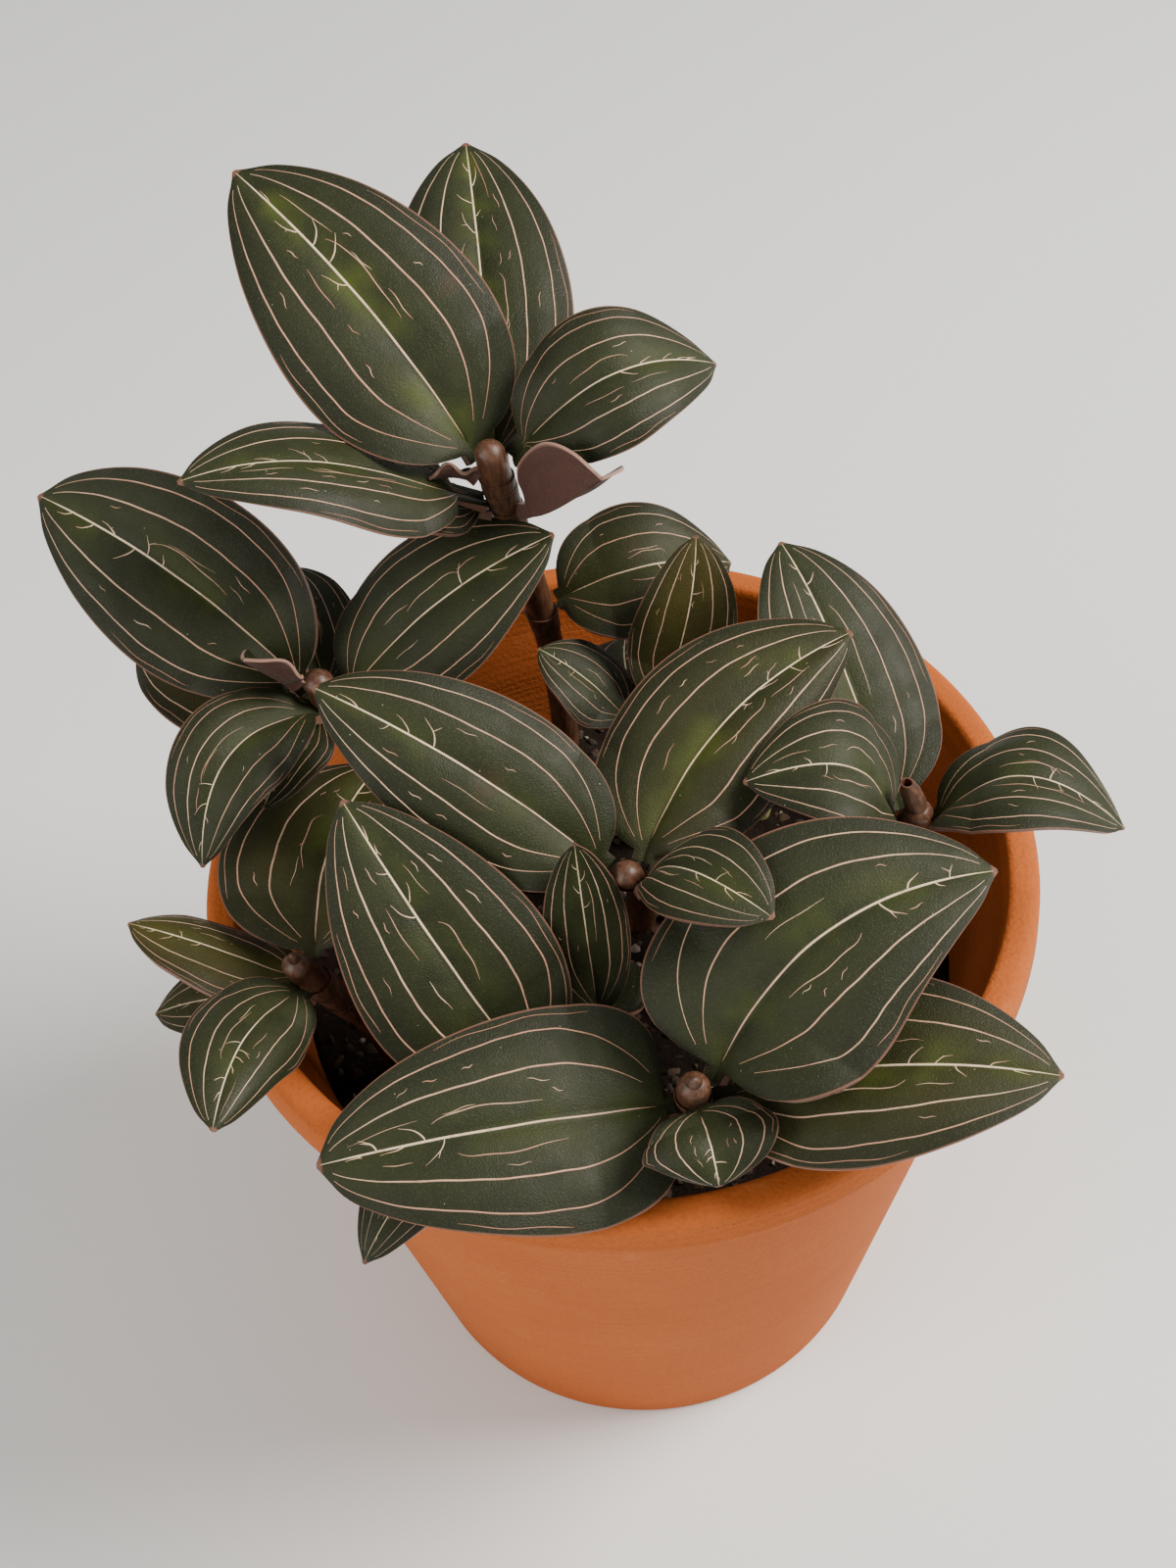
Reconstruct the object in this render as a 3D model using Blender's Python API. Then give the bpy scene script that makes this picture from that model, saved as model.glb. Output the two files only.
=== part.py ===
"""Potted jewel orchid: a clay pot filled with soil, and nine leafy shoots that stand in it."""

import math
from collections import namedtuple

import bpy
import numpy as np
from mathutils import Vector

# Driving dimensions, in metres. The pot's axis is the Z axis and its foot stands on Z = 0.
POT_HEIGHT = 0.128
FOOT_RADIUS = 0.0484
BODY_TOP_RADIUS = 0.070
RIM_RADIUS = 0.075
RIM_HEIGHT = 0.0095
WALL = 0.005
FLOOR_THICKNESS = 0.008
MOUTH_RADIUS = 0.0690
POT_STEPS = 48

DRAIN_HOLES = 3
DRAIN_RADIUS = 0.005
DRAIN_CIRCLE = 0.022

SOIL_LEVEL = 0.096
SOIL_RINGS = 6
SOIL_BUMP = 0.0008
SOIL_EDGE_DROP = 0.002

STEM_RADIUS = 0.0027
STEM_TIP_RADIUS = 0.0016
STEM_SIDES = 8
STEM_RINGS = 8
STEM_DEPTH = 0.008
STEM_STRAIGHT = 0.001
NEW_SHOOT_RADIUS = 0.0015
NEW_SHOOT_PLACE = (0.028, 0.032)
NEW_SHOOT_TOP = (0.031, 0.030, 0.112)
HOLE_SIDES = 12

CLEARANCE = 0.0003
PETIOLE_HALF_WIDTH = 0.0013
PETIOLE_THICKNESS = 0.0018
STALK_DEPTH = 0.0016
BLADE_THICKNESS = 0.0008
BLADE_TIP_HALF_WIDTH = 0.0004
LARGE_LEAF_LENGTH = 0.028
LARGE_LEAF_STATIONS = 9
SMALL_LEAF_STATIONS = 7
LARGE_LEAF_STRIPS = 6
SMALL_LEAF_STRIPS = 4
YOUNG_LEAF_LENGTH = 0.016

# Shares of a leaf's length along which the stalk thins into the blade, and the extra fold of the
# channelled stalk in degrees
STALK_SHARE = 0.25
THICK_SHARE = 0.18
STALK_FOLD = 25
MARGIN_WAVES = 1.5

# Colours as linear RGB
CLAY = (0.56, 0.24, 0.12)
SOIL_BROWN = (0.030, 0.022, 0.016)
STEM_RED = (0.19, 0.075, 0.05)
LEAF_GREEN = (0.030, 0.045, 0.024)
YOUNG_LEAF_RED = (0.16, 0.06, 0.05)
SHOOT_PALE = (0.45, 0.48, 0.20)

# Where each stem comes out of the soil, and where its crown is
Stem = namedtuple("Stem", "root crown")

STEMS = {
    "A": Stem(root=(-0.009, 0.054), crown=(-0.0167, 0.0367, 0.1942)),
    "B": Stem(root=(-0.042, 0.026), crown=(-0.050, 0.018, 0.161)),
    "C": Stem(root=(-0.043, -0.022), crown=(-0.055, -0.029, 0.143)),
    "D": Stem(root=(-0.014, -0.038), crown=(-0.014, -0.047, 0.1275)),
    "E": Stem(root=(0.009, -0.044), crown=(0.009, -0.061, 0.148)),
    "F": Stem(root=(0.0035, 0.0075), crown=(0.001, -0.0215, 0.1518)),
    "G": Stem(root=(0.005, 0.029), crown=(0.007, 0.026, 0.136)),
    "H": Stem(root=(0.042, 0.001), crown=(0.051, -0.011, 0.149)),
    "K": Stem(root=(-0.004, -0.021), crown=(-0.005, -0.0385, 0.130)),
}

# A leaf's root sits beside its stem, "below" the crown. A straight line from root to tip has a
# heading, counted in degrees from +X towards +Y, and a rise above the horizontal. The midrib
# stands off that line by "arch" upwards and by "bend" to the right, at one and two thirds.
LEAF_DEFAULTS = {
    "roll": 0.0,
    "arch": (0.006, 0.006),
    "bend": 0.0,
    "fold": 12.0,
    "curl": (25.0, 25.0),
    "widest_at": 0.42,
    "bluntness": 0.72,
    "petiole": 0.04,
    "wave": 0.0006,
    "wave_start": 0.0,
}

LEAVES = {}


def add_leaf(name, below, heading, rise, length, width, **shape):
    """Note one leaf's design; its first letter names the stem that carries it."""
    design = dict(LEAF_DEFAULTS)
    design.update(shape)
    design.update(below=below, heading=heading, rise=rise, length=length, width=width)
    LEAVES[name] = design


add_leaf("A1", 0.005, 134, 32, 0.0635, 0.037, roll=-19, arch=(0.0085, 0.0063), bend=0.002,
         widest_at=0.37)
add_leaf("A2", 0.0085, 92, 23, 0.0625, 0.031, roll=5, arch=(0.008, 0.007))
add_leaf("A3", 0.003, 18, 11, 0.037, 0.025, roll=20, arch=(0.017, 0.018), fold=15, widest_at=0.39,
         curl=(25, 45), petiole=0.08)
add_leaf("A4", 0.0143, -163, 25.8, 0.0548, 0.027, roll=6, arch=(0.005, 0.0105), widest_at=0.36,
         curl=(60, 25), petiole=0.12)
add_leaf("A5", 0.0163, -162, 14, 0.0212, 0.014, arch=(0.003, 0.004), curl=(20, 10), petiole=0.12)
add_leaf("A6", 0.0158, -47, 46, 0.030, 0.021, roll=-48, arch=(-0.003, -0.001), fold=46,
         curl=(10, 10), widest_at=0.52, bluntness=0.58, petiole=0.15)
add_leaf("A7", 0.0078, -175, 15, 0.008, 0.004, roll=50, arch=(0.001, 0.001), curl=(-20, -20))
add_leaf("A8", 0.0522, 11, 0, 0.033, 0.027, roll=20, arch=(0.010, 0.009), widest_at=0.38)
add_leaf("B1", 0.005, 147, 24, 0.058, 0.033, roll=-25, arch=(0.009, 0.006), bend=0.003, curl=(40, 0))
add_leaf("B2", 0.007, 19, 29.5, 0.046, 0.028, roll=14, bend=-0.0015, widest_at=0.40,
         curl=(25, 40))
add_leaf("B3", 0.0005, 190, 52, 0.012, 0.012, roll=40, arch=(0, 0), curl=(-20, -20), petiole=0.08)
add_leaf("B4", 0.012, 145, -4, 0.042, 0.032, roll=-5, arch=(0.004, 0.005))
add_leaf("B5", 0.007, -128, -14, 0.033, 0.019, roll=-20, arch=(0.012, 0.012), bend=0.008)
add_leaf("B6", 0.009, -120, -4, 0.020, 0.012, arch=(0.003, 0.003))
add_leaf("B7", 0.009, 105, 14, 0.027, 0.018, arch=(0.004, 0.004))
add_leaf("C1", 0.005, 73, 8, 0.039, 0.038, arch=(0.005, 0.004), bend=-0.004, widest_at=0.40)
add_leaf("C2", 0.009, 163, 15, 0.031, 0.017, roll=5, arch=(0.001, 0.002), fold=2, curl=(10, 50))
add_leaf("C3", 0.004, -108, 20, 0.037, 0.020, roll=-5, arch=(0.004, 0.007), bend=0.003,
         curl=(90, 25), widest_at=0.40)
add_leaf("C4", 0.014, 177, -9, 0.029, 0.017, arch=(0.003, 0.004))
add_leaf("D1", 0.003, 133, 46, 0.058, 0.034, roll=-22, arch=(0.007, 0.005), bend=-0.001,
         widest_at=0.34, petiole=0.08)
add_leaf("D2", 0.003, -138, -2, 0.039, 0.017, arch=(0.008, 0.009), bend=0.003, petiole=0.08)
add_leaf("E1", 0.017, -170, 6, 0.058, 0.037, roll=-20, arch=(0.007, 0.008), widest_at=0.29,
         bluntness=0.58)
add_leaf("E2", 0.003, 26, 20, 0.055, 0.042, roll=14, arch=(0.010, 0.008), bend=-0.009,
         widest_at=0.28, bluntness=0.72)
add_leaf("E3", 0.015, -10, 16, 0.056, 0.033, roll=10, arch=(0.008, 0.008), bend=-0.002,
         widest_at=0.40)
add_leaf("E4", 0.007, -80, -12, 0.012, 0.022, arch=(0.004, 0.005), curl=(10, 50))
add_leaf("F1", 0.002, 153, 25, 0.057, 0.029, roll=-26, arch=(0.005, 0.006), bend=0.002,
         widest_at=0.37, curl=(45, 40))
add_leaf("F2", 0.004, 40, 20, 0.053, 0.033, arch=(0.006, 0.005), bend=-0.006, fold=20,
         curl=(25, 90), widest_at=0.36)
add_leaf("F3", 0.006, -48, 34, 0.034, 0.018, roll=10, arch=(0.011, 0.012), fold=14,
         widest_at=0.62, petiole=0.08)
add_leaf("G2", 0.003, 60, 58, 0.034, 0.019, roll=30, arch=(0.001, 0.003), bend=0.002)
add_leaf("G3", 0.004, 150, 34, 0.021, 0.016, arch=(0.003, 0.003))
add_leaf("G4", 0.006, 95, -3, 0.022, 0.020, arch=(0.003, 0.003), bend=-0.002)
add_leaf("H1", 0.006, 109, 23, 0.053, 0.030, roll=6, arch=(0.001, 0.007), widest_at=0.40)
add_leaf("H2", 0.004, -14, 9, 0.031, 0.026, roll=-10, arch=(0.016, 0.014), widest_at=0.40)
add_leaf("H3", 0.003, 181, 30, 0.028, 0.028, roll=-8, arch=(0.014, 0.013), bend=0.002, widest_at=0.38)
add_leaf("K1", 0.002, 98, 71, 0.035, 0.014, arch=(-0.001, -0.002))
add_leaf("K2", 0.005, 66, 12, 0.011, 0.009, arch=(0, 0.001))

# Middle points and weights for adding up a curved cross-section
GAUSS_POINTS = (0.0694, 0.3300, 0.6700, 0.9306)
GAUSS_WEIGHTS = (0.1739, 0.3261, 0.3261, 0.1739)


def clear_scene():
    for item in list(bpy.data.objects):
        bpy.data.objects.remove(item, do_unlink=True)


def make_material(name, colour, roughness):
    material = bpy.data.materials.new(name)
    material.use_nodes = True
    shader = material.node_tree.nodes["Principled BSDF"]
    shader.inputs["Base Color"].default_value = (*colour, 1.0)
    shader.inputs["Roughness"].default_value = roughness
    shader.inputs["Metallic"].default_value = 0.0
    return material


def make_object(name, vertices, faces, material):
    """One closed piece from its points and faces, shaded smooth."""
    mesh = bpy.data.meshes.new(name)
    mesh.from_pydata([tuple(point) for point in vertices], [], faces)
    mesh.validate()
    mesh.shade_smooth()
    mesh.set_sharp_from_angle(angle=math.radians(50))
    mesh.materials.append(material)
    item = bpy.data.objects.new(name, mesh)
    bpy.context.scene.collection.objects.link(item)
    return item


def cut(item, cutter):
    """Cut one piece with another, and remove the cutter."""
    modifier = item.modifiers.new("cut", "BOOLEAN")
    modifier.operation = "DIFFERENCE"
    modifier.solver = "EXACT"
    modifier.object = cutter
    depsgraph = bpy.context.evaluated_depsgraph_get()
    mesh = bpy.data.meshes.new_from_object(item.evaluated_get(depsgraph))
    item.modifiers.remove(modifier)
    item.data = mesh
    bpy.data.objects.remove(cutter, do_unlink=True)


def turned(profile, steps):
    """Points and faces of a closed profile turned about Z. The profile starts on the axis at the
    bottom and ends on it at the top."""
    vertices = [(0.0, 0.0, profile[0][1])]
    rings = profile[1:-1]
    for radius, height in rings:
        for step in range(steps):
            angle = 2 * math.pi * step / steps
            vertices.append((radius * math.cos(angle), radius * math.sin(angle), height))
    vertices.append((0.0, 0.0, profile[-1][1]))
    last = len(vertices) - 1
    faces = []
    for step in range(steps):
        after = (step + 1) % steps
        faces.append((0, 1 + after, 1 + step))
        for ring in range(len(rings) - 1):
            low = 1 + ring * steps
            high = low + steps
            faces.append((low + step, low + after, high + after, high + step))
        top = 1 + (len(rings) - 1) * steps
        faces.append((top + step, top + after, last))
    return vertices, faces


def outer_radius(height):
    """Outer radius of the pot's straight, tapering body."""
    share = height / (POT_HEIGHT - RIM_HEIGHT)
    return FOOT_RADIUS + (BODY_TOP_RADIUS - FOOT_RADIUS) * share


def inner_radius(height):
    return outer_radius(height) - WALL


def make_pot():
    band = POT_HEIGHT - RIM_HEIGHT
    profile = [
        (0.0, 0.0),
        (FOOT_RADIUS - 0.001, 0.0),
        (FOOT_RADIUS, 0.001),
        (outer_radius(band - 0.002), band - 0.002),
        (BODY_TOP_RADIUS + 0.001, band),
        (RIM_RADIUS - 0.0016, band + 0.0006),
        (RIM_RADIUS, band + 0.0035),
        (RIM_RADIUS - 0.0006, POT_HEIGHT - 0.0025),
        (RIM_RADIUS - 0.0024, POT_HEIGHT - 0.0005),
        (RIM_RADIUS - 0.0038, POT_HEIGHT),
        (MOUTH_RADIUS, POT_HEIGHT - 0.0012),
        (MOUTH_RADIUS - 0.0022, POT_HEIGHT - 0.006),
        (inner_radius(band - 0.004), band - 0.004),
        (inner_radius(FLOOR_THICKNESS + 0.003), FLOOR_THICKNESS + 0.003),
        (inner_radius(FLOOR_THICKNESS) - 0.003, FLOOR_THICKNESS),
        (0.0, FLOOR_THICKNESS),
    ]
    vertices, faces = turned(profile, POT_STEPS)
    pot = make_object("pot", vertices, faces, make_material("clay", CLAY, 0.8))
    for hole in range(DRAIN_HOLES):
        angle = 2 * math.pi * (hole + 0.5) / DRAIN_HOLES + math.pi / POT_STEPS
        place = (DRAIN_CIRCLE * math.cos(angle), DRAIN_CIRCLE * math.sin(angle), FLOOR_THICKNESS / 2)
        cut(pot, make_cutter(place, DRAIN_RADIUS, FLOOR_THICKNESS * 2, HOLE_SIDES))
    return pot


def make_cutter(place, radius, height, sides):
    """A plain round prism whose middle lies at the place given."""
    bpy.ops.mesh.primitive_cylinder_add(vertices=sides, radius=radius, depth=height, location=place)
    cutter = bpy.context.object
    cutter.hide_render = True
    cutter.display_type = "WIRE"
    return cutter


def soil_height(x, y):
    """Level of the loose soil, with low mounds about 35 mm apart and smaller ones between."""
    mounds = math.sin(x / 0.0053 + 0.6) * math.cos(y / 0.0062) + 0.5 * math.sin((x + y) / 0.003)
    return SOIL_LEVEL + SOIL_BUMP * mounds


def make_soil():
    bottom = FLOOR_THICKNESS + CLEARANCE
    side = [
        (inner_radius(FLOOR_THICKNESS) - 0.0036, bottom),
        (inner_radius(FLOOR_THICKNESS + 0.0033) - CLEARANCE, FLOOR_THICKNESS + 0.0033),
    ]
    edge = inner_radius(SOIL_LEVEL - SOIL_EDGE_DROP) - CLEARANCE
    rings = [edge * (SOIL_RINGS - ring) / SOIL_RINGS for ring in range(SOIL_RINGS)]
    profile = [(0.0, bottom)] + side + [(radius, SOIL_LEVEL) for radius in rings] + [(0.0, SOIL_LEVEL)]
    vertices, faces = turned(profile, POT_STEPS)
    shaped = []
    for x, y, z in vertices:
        if z == SOIL_LEVEL:
            z = soil_height(x, y)
            if math.hypot(x, y) > edge - 0.0001:
                z = SOIL_LEVEL - SOIL_EDGE_DROP
        shaped.append((x, y, z))
    soil = make_object("soil", shaped, faces, make_material("soil", SOIL_BROWN, 0.95))
    for stem in STEMS.values():
        place = (*stem.root, SOIL_LEVEL)
        cut(soil, make_cutter(place, STEM_RADIUS + CLEARANCE, STEM_DEPTH * 2, HOLE_SIDES))
    place = (*NEW_SHOOT_PLACE, SOIL_LEVEL)
    cut(soil, make_cutter(place, NEW_SHOOT_RADIUS + CLEARANCE, STEM_DEPTH * 2, HOLE_SIDES))
    return soil


def bezier(points, share):
    """Point on a cubic curve through four control points."""
    a, b, c, d = points
    rest = 1 - share
    return a * rest**3 + b * (3 * rest**2 * share) + c * (3 * rest * share**2) + d * share**3


def stem_curve(stem):
    """Control points of a stem above the soil: it leaves the soil upright and then leans."""
    low = Vector((*stem.root, SOIL_LEVEL + STEM_STRAIGHT))
    high = Vector(stem.crown)
    rise = high.z - low.z
    return low, low + Vector((0, 0, rise * 0.4)), high - (high - low) * 0.3, high


def stem_point(stem, below):
    """Point on the stem's middle line that lies a given length below its crown."""
    curve = stem_curve(stem)
    length = 0.0
    last = curve[3]
    for step in range(1, 101):
        point = bezier(curve, 1 - step / 100)
        length += (point - last).length
        last = point
        if length >= below:
            return point
    return last


def make_tube(name, centres, radii, sides, material):
    """A closed round tube of level rings."""
    vertices = []
    for centre, radius in zip(centres, radii):
        for side in range(sides):
            angle = 2 * math.pi * side / sides
            spoke = Vector((math.cos(angle), math.sin(angle), 0.0))
            vertices.append(centre + spoke * radius)
    faces = [tuple(reversed(range(sides)))]
    for ring in range(len(centres) - 1):
        low = ring * sides
        for side in range(sides):
            after = (side + 1) % sides
            faces.append((low + side, low + after, low + sides + after, low + sides + side))
    top = (len(centres) - 1) * sides
    faces.append(tuple(top + side for side in range(sides)))
    return make_object(name, vertices, faces, material)


def make_stem(letter, stem, material):
    """A stem from the bottom of its hole in the soil to its rounded growing tip."""
    curve = stem_curve(stem)
    foot = Vector((*stem.root, SOIL_LEVEL - STEM_DEPTH + CLEARANCE))
    centres = [foot] + [bezier(curve, ring / STEM_RINGS) for ring in range(STEM_RINGS + 1)]
    radii = [STEM_RADIUS] * len(centres)
    centres.append(curve[3] + Vector((0, 0, 0.0012)))
    radii.append(STEM_TIP_RADIUS)
    return make_tube("stem_" + letter, centres, radii, STEM_SIDES, material)


def make_new_shoot():
    """A pale shoot that has just come up through the soil."""
    foot = Vector((*NEW_SHOOT_PLACE, SOIL_LEVEL - STEM_DEPTH + CLEARANCE))
    neck = Vector((*NEW_SHOOT_PLACE, SOIL_LEVEL + STEM_STRAIGHT))
    top = Vector(NEW_SHOOT_TOP)
    centres = [foot, neck, neck.lerp(top, 0.5), neck.lerp(top, 0.85), top]
    radii = [NEW_SHOOT_RADIUS, NEW_SHOOT_RADIUS, 0.0014, 0.0010, 0.0004]
    return make_tube("new_shoot", centres, radii, STEM_SIDES, make_material("shoot", SHOOT_PALE, 0.5))


def leaf_axes(design):
    """Forward, up and right directions of the line from a leaf's root to its tip."""
    heading = math.radians(design["heading"])
    rise = math.radians(design["rise"])
    roll = math.radians(design["roll"])
    level = Vector((math.cos(heading), math.sin(heading), 0.0))
    forward = level * math.cos(rise) + Vector((0, 0, math.sin(rise)))
    up = Vector((0, 0, math.cos(rise))) - level * math.sin(rise)
    right = forward.cross(up)
    return (
        forward,
        up * math.cos(roll) + right * math.sin(roll),
        right * math.cos(roll) - up * math.sin(roll),
    )


def leaf_root(name, design):
    """Where a leaf starts, just off the side of its stem. A leaf that sets off steeply keeps the
    raised edges of its channelled stalk clear of the stem."""
    heading = math.radians(design["heading"])
    side = Vector((math.cos(heading), math.sin(heading), 0.0))
    forward, up, right = leaf_axes(design)
    start = forward * (design["length"] / 3) + up * design["arch"][0] + right * design["bend"]
    steepness = max(0.0, start.normalized().z)
    seat = CLEARANCE + STALK_DEPTH * steepness
    return stem_point(STEMS[name[0]], design["below"]) + side * (STEM_RADIUS + seat)


def half_width(design, along):
    """Half of the blade's width at a share of the way from root to tip."""
    petiole = design["petiole"]
    near_tip = design["bluntness"]
    near_root = near_tip * design["widest_at"] / (1 - design["widest_at"])
    share = np.clip((along - petiole) / (1 - petiole), 0.0, 1.0)
    outline = (share / design["widest_at"]) ** near_root
    outline = outline * ((1 - share) / (1 - design["widest_at"])) ** near_tip
    stalk = PETIOLE_HALF_WIDTH * np.clip((1 - along) / STALK_SHARE, 0.0, 1.0)
    return np.sqrt((0.5 * design["width"] * outline) ** 2 + stalk**2 + BLADE_TIP_HALF_WIDTH**2)


def leaf_surface(name, design, along, across):
    """Middle surface of a leaf: along runs from 0 at the root to 1 at the tip, and across from
    -1 at the left margin to 1 at the right one."""
    root = np.array(leaf_root(name, design))
    forward, up, right = (np.array(axis) for axis in leaf_axes(design))
    length = design["length"]
    low_arch, high_arch = design["arch"]
    controls = (
        root,
        root + forward * length / 3 + up * low_arch + right * design["bend"],
        root + forward * length * 2 / 3 + up * high_arch + right * design["bend"],
        root + forward * length,
    )
    share = along[..., None]
    midrib = bezier(controls, share)
    first, second, third = (b - a for a, b in zip(controls, controls[1:]))
    tangent = first * (1 - share) ** 2 + second * 2 * share * (1 - share) + third * share**2
    tangent = tangent / np.linalg.norm(tangent, axis=-1, keepdims=True)
    sideways = right - (tangent @ right)[..., None] * tangent
    sideways = sideways / np.linalg.norm(sideways, axis=-1, keepdims=True)
    normal = np.cross(sideways, tangent)

    half = half_width(design, along)
    out = np.abs(across)
    left_curl, right_curl = design["curl"]
    curl = np.where(across < 0, left_curl, right_curl)
    fold = design["fold"] + STALK_FOLD * np.clip(1 - along / STALK_SHARE, 0.0, 1.0)
    level = np.zeros_like(half * out)
    lift = np.zeros_like(level)
    for point, weight in zip(GAUSS_POINTS, GAUSS_WEIGHTS):
        slope = np.radians(fold - curl * out * point)
        level = level + weight * np.cos(slope)
        lift = lift + weight * np.sin(slope)
    level = level * out * half * np.sign(across)
    turns = 2 * math.pi * (MARGIN_WAVES * along + design["wave_start"] + np.where(across < 0, 0.25, 0.0))
    ripple = design["wave"] * (2 * half / design["width"]) * out**3 * np.sin(turns)
    lift = lift * out * half + ripple
    return midrib + sideways * level[..., None] + normal * lift[..., None]


def make_leaf(name, design, material):
    """A thin closed blade, split into triangles alike on its two faces."""
    large = design["length"] > LARGE_LEAF_LENGTH
    stations = LARGE_LEAF_STATIONS if large else SMALL_LEAF_STATIONS
    strips = LARGE_LEAF_STRIPS if large else SMALL_LEAF_STRIPS
    along, across = np.meshgrid(np.linspace(0, 1, stations), np.linspace(-1, 1, strips + 1), indexing="ij")
    middle = leaf_surface(name, design, along, across)
    nudge = 0.001
    inside_along = np.clip(along, nudge, 1 - nudge)
    inside_across = np.clip(across, nudge - 1, 1 - nudge)
    lengthwise = (leaf_surface(name, design, inside_along + nudge, across)
                  - leaf_surface(name, design, inside_along - nudge, across))
    crosswise = (leaf_surface(name, design, along, inside_across + nudge)
                 - leaf_surface(name, design, along, inside_across - nudge))
    normal = np.cross(crosswise, lengthwise)
    normal = normal / np.linalg.norm(normal, axis=-1, keepdims=True)
    extra = PETIOLE_THICKNESS - BLADE_THICKNESS
    thickness = BLADE_THICKNESS + extra * np.clip(1 - along / THICK_SHARE, 0.0, 1.0)
    offset = normal * (thickness / 2)[..., None]
    top = (middle + offset).reshape(-1, 3)
    bottom = (middle - offset).reshape(-1, 3)
    count = len(top)

    def index(station, strip):
        return station * (strips + 1) + strip

    faces = []
    for station in range(stations - 1):
        for strip in range(strips):
            a = index(station, strip)
            b = index(station, strip + 1)
            c = index(station + 1, strip + 1)
            d = index(station + 1, strip)
            faces += [(a, b, c), (a, c, d)]
            faces += [(count + a, count + c, count + b), (count + a, count + d, count + c)]
    margin = [index(0, strip) for strip in range(strips)]
    margin += [index(station, strips) for station in range(stations - 1)]
    margin += [index(stations - 1, strip) for strip in range(strips, 0, -1)]
    margin += [index(station, 0) for station in range(stations - 1, 0, -1)]
    for a, b in zip(margin, margin[1:] + margin[:1]):
        faces += [(b, a, count + a), (b, count + a, count + b)]
    return make_object("leaf_" + name, np.vstack([top, bottom]).tolist(), faces, material)


def main():
    clear_scene()
    make_pot()
    make_soil()
    for letter, stem in STEMS.items():
        make_stem(letter, stem, make_material("stem " + letter, STEM_RED, 0.5))
    make_new_shoot()
    for name, design in LEAVES.items():
        young = design["length"] < YOUNG_LEAF_LENGTH
        colour = YOUNG_LEAF_RED if young else LEAF_GREEN
        make_leaf(name, design, make_material("leaf " + name, colour, 0.45))


main()
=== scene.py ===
"""Looks of the potted jewel orchid, laid out as an add-on. Each operator builds one group of
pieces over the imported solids, and the last one sets the camera, the light and the floor."""

import math
import random
from collections import namedtuple

import bpy
import numpy as np
from mathutils import Matrix, Vector, noise


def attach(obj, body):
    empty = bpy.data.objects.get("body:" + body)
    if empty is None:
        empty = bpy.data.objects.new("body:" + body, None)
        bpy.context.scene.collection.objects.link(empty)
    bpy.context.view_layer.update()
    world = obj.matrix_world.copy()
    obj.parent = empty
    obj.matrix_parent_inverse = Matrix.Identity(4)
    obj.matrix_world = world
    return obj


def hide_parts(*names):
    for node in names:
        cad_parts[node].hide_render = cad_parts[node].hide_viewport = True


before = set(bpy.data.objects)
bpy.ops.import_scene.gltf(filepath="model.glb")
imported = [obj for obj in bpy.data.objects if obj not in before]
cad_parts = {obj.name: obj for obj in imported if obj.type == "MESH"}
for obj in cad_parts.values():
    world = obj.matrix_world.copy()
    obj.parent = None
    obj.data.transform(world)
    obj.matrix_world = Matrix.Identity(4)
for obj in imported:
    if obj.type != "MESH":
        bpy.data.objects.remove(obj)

bl_info = {
    "name": "Potted Jewel Orchid",
    "version": (1, 0, 0),
    "blender": (4, 5, 0),
    "location": "3D View > Sidebar > Orchid",
    "description": "Builds the visible pieces of a jewel orchid in a clay pot",
    "category": "Object",
}

# Pot and soil, in metres. The pot's axis is the Z axis and its foot stands on Z = 0.
POT_HEIGHT = 0.128
FOOT_RADIUS = 0.0484
BODY_TOP_RADIUS = 0.070
RIM_RADIUS = 0.075
RIM_HEIGHT = 0.0095
WALL = 0.005
FLOOR_THICKNESS = 0.008
MOUTH_RADIUS = 0.0690
POT_STEPS = 180
DRAIN_HOLES = 3
DRAIN_RADIUS = 0.005
DRAIN_CIRCLE = 0.022
SOIL_LEVEL = 0.096
SOIL_RINGS = 56
SOIL_EDGE_GAP = 0.0004
SOIL_FOOT_GAP = 0.0036
MOUND_HEIGHT = 0.0008
CRUMB_HEIGHT = 0.0009
LUMP_HEIGHT = 0.0010
CRUMBS_IN_A_METRE = 420
LUMPS_IN_A_METRE = 160

# Stems and leaves
STEM_RADIUS = 0.0027
STEM_TIP = ((0.0005, 0.0024), (0.0011, 0.0019), (0.0016, 0.0013), (0.0019, 0.0005))
STEM_STRAIGHT = 0.001
STEM_DEPTH = 0.004
STEM_SIDES = 24
STEM_RINGS = 60
NEW_SHOOT_PLACE = (0.028, 0.032)
NEW_SHOOT_TOP = (0.031, 0.030, 0.112)
NEW_SHOOT_RADIUS = 0.0015
BUD_TIP_RADIUS = 0.00012
BUD_SEAT = 0.0008
ROLLED_LEAF_SEAT = 0.0006
ROLLED_LEAF_LEAN = (-0.35, 0.25, 1.0)
ROLLED_LEAF_LENGTH = 0.0062
ROLLED_LEAF_RADIUS = 0.0021
ROLLED_LEAF_WALL = 0.0003
SLEEVE_GAP = 0.0015
SLEEVE_LEAST_DEPTH = 0.004
CLEARANCE = 0.0003
STALK_DEPTH = 0.0016
PETIOLE_HALF_WIDTH = 0.0022
PETIOLE_THICKNESS = 0.0017
BLADE_THICKNESS = 0.0006
BLADE_TIP_HALF_WIDTH = 0.0002
TIP_POINT = 0.45
LEAF_STATIONS = 72
LEAF_STRIPS = 36
STALK_SHARE = 0.25
THICK_SHARE = 0.18
STALK_FOLD = 25
MARGIN_WAVES = 1.5

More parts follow.
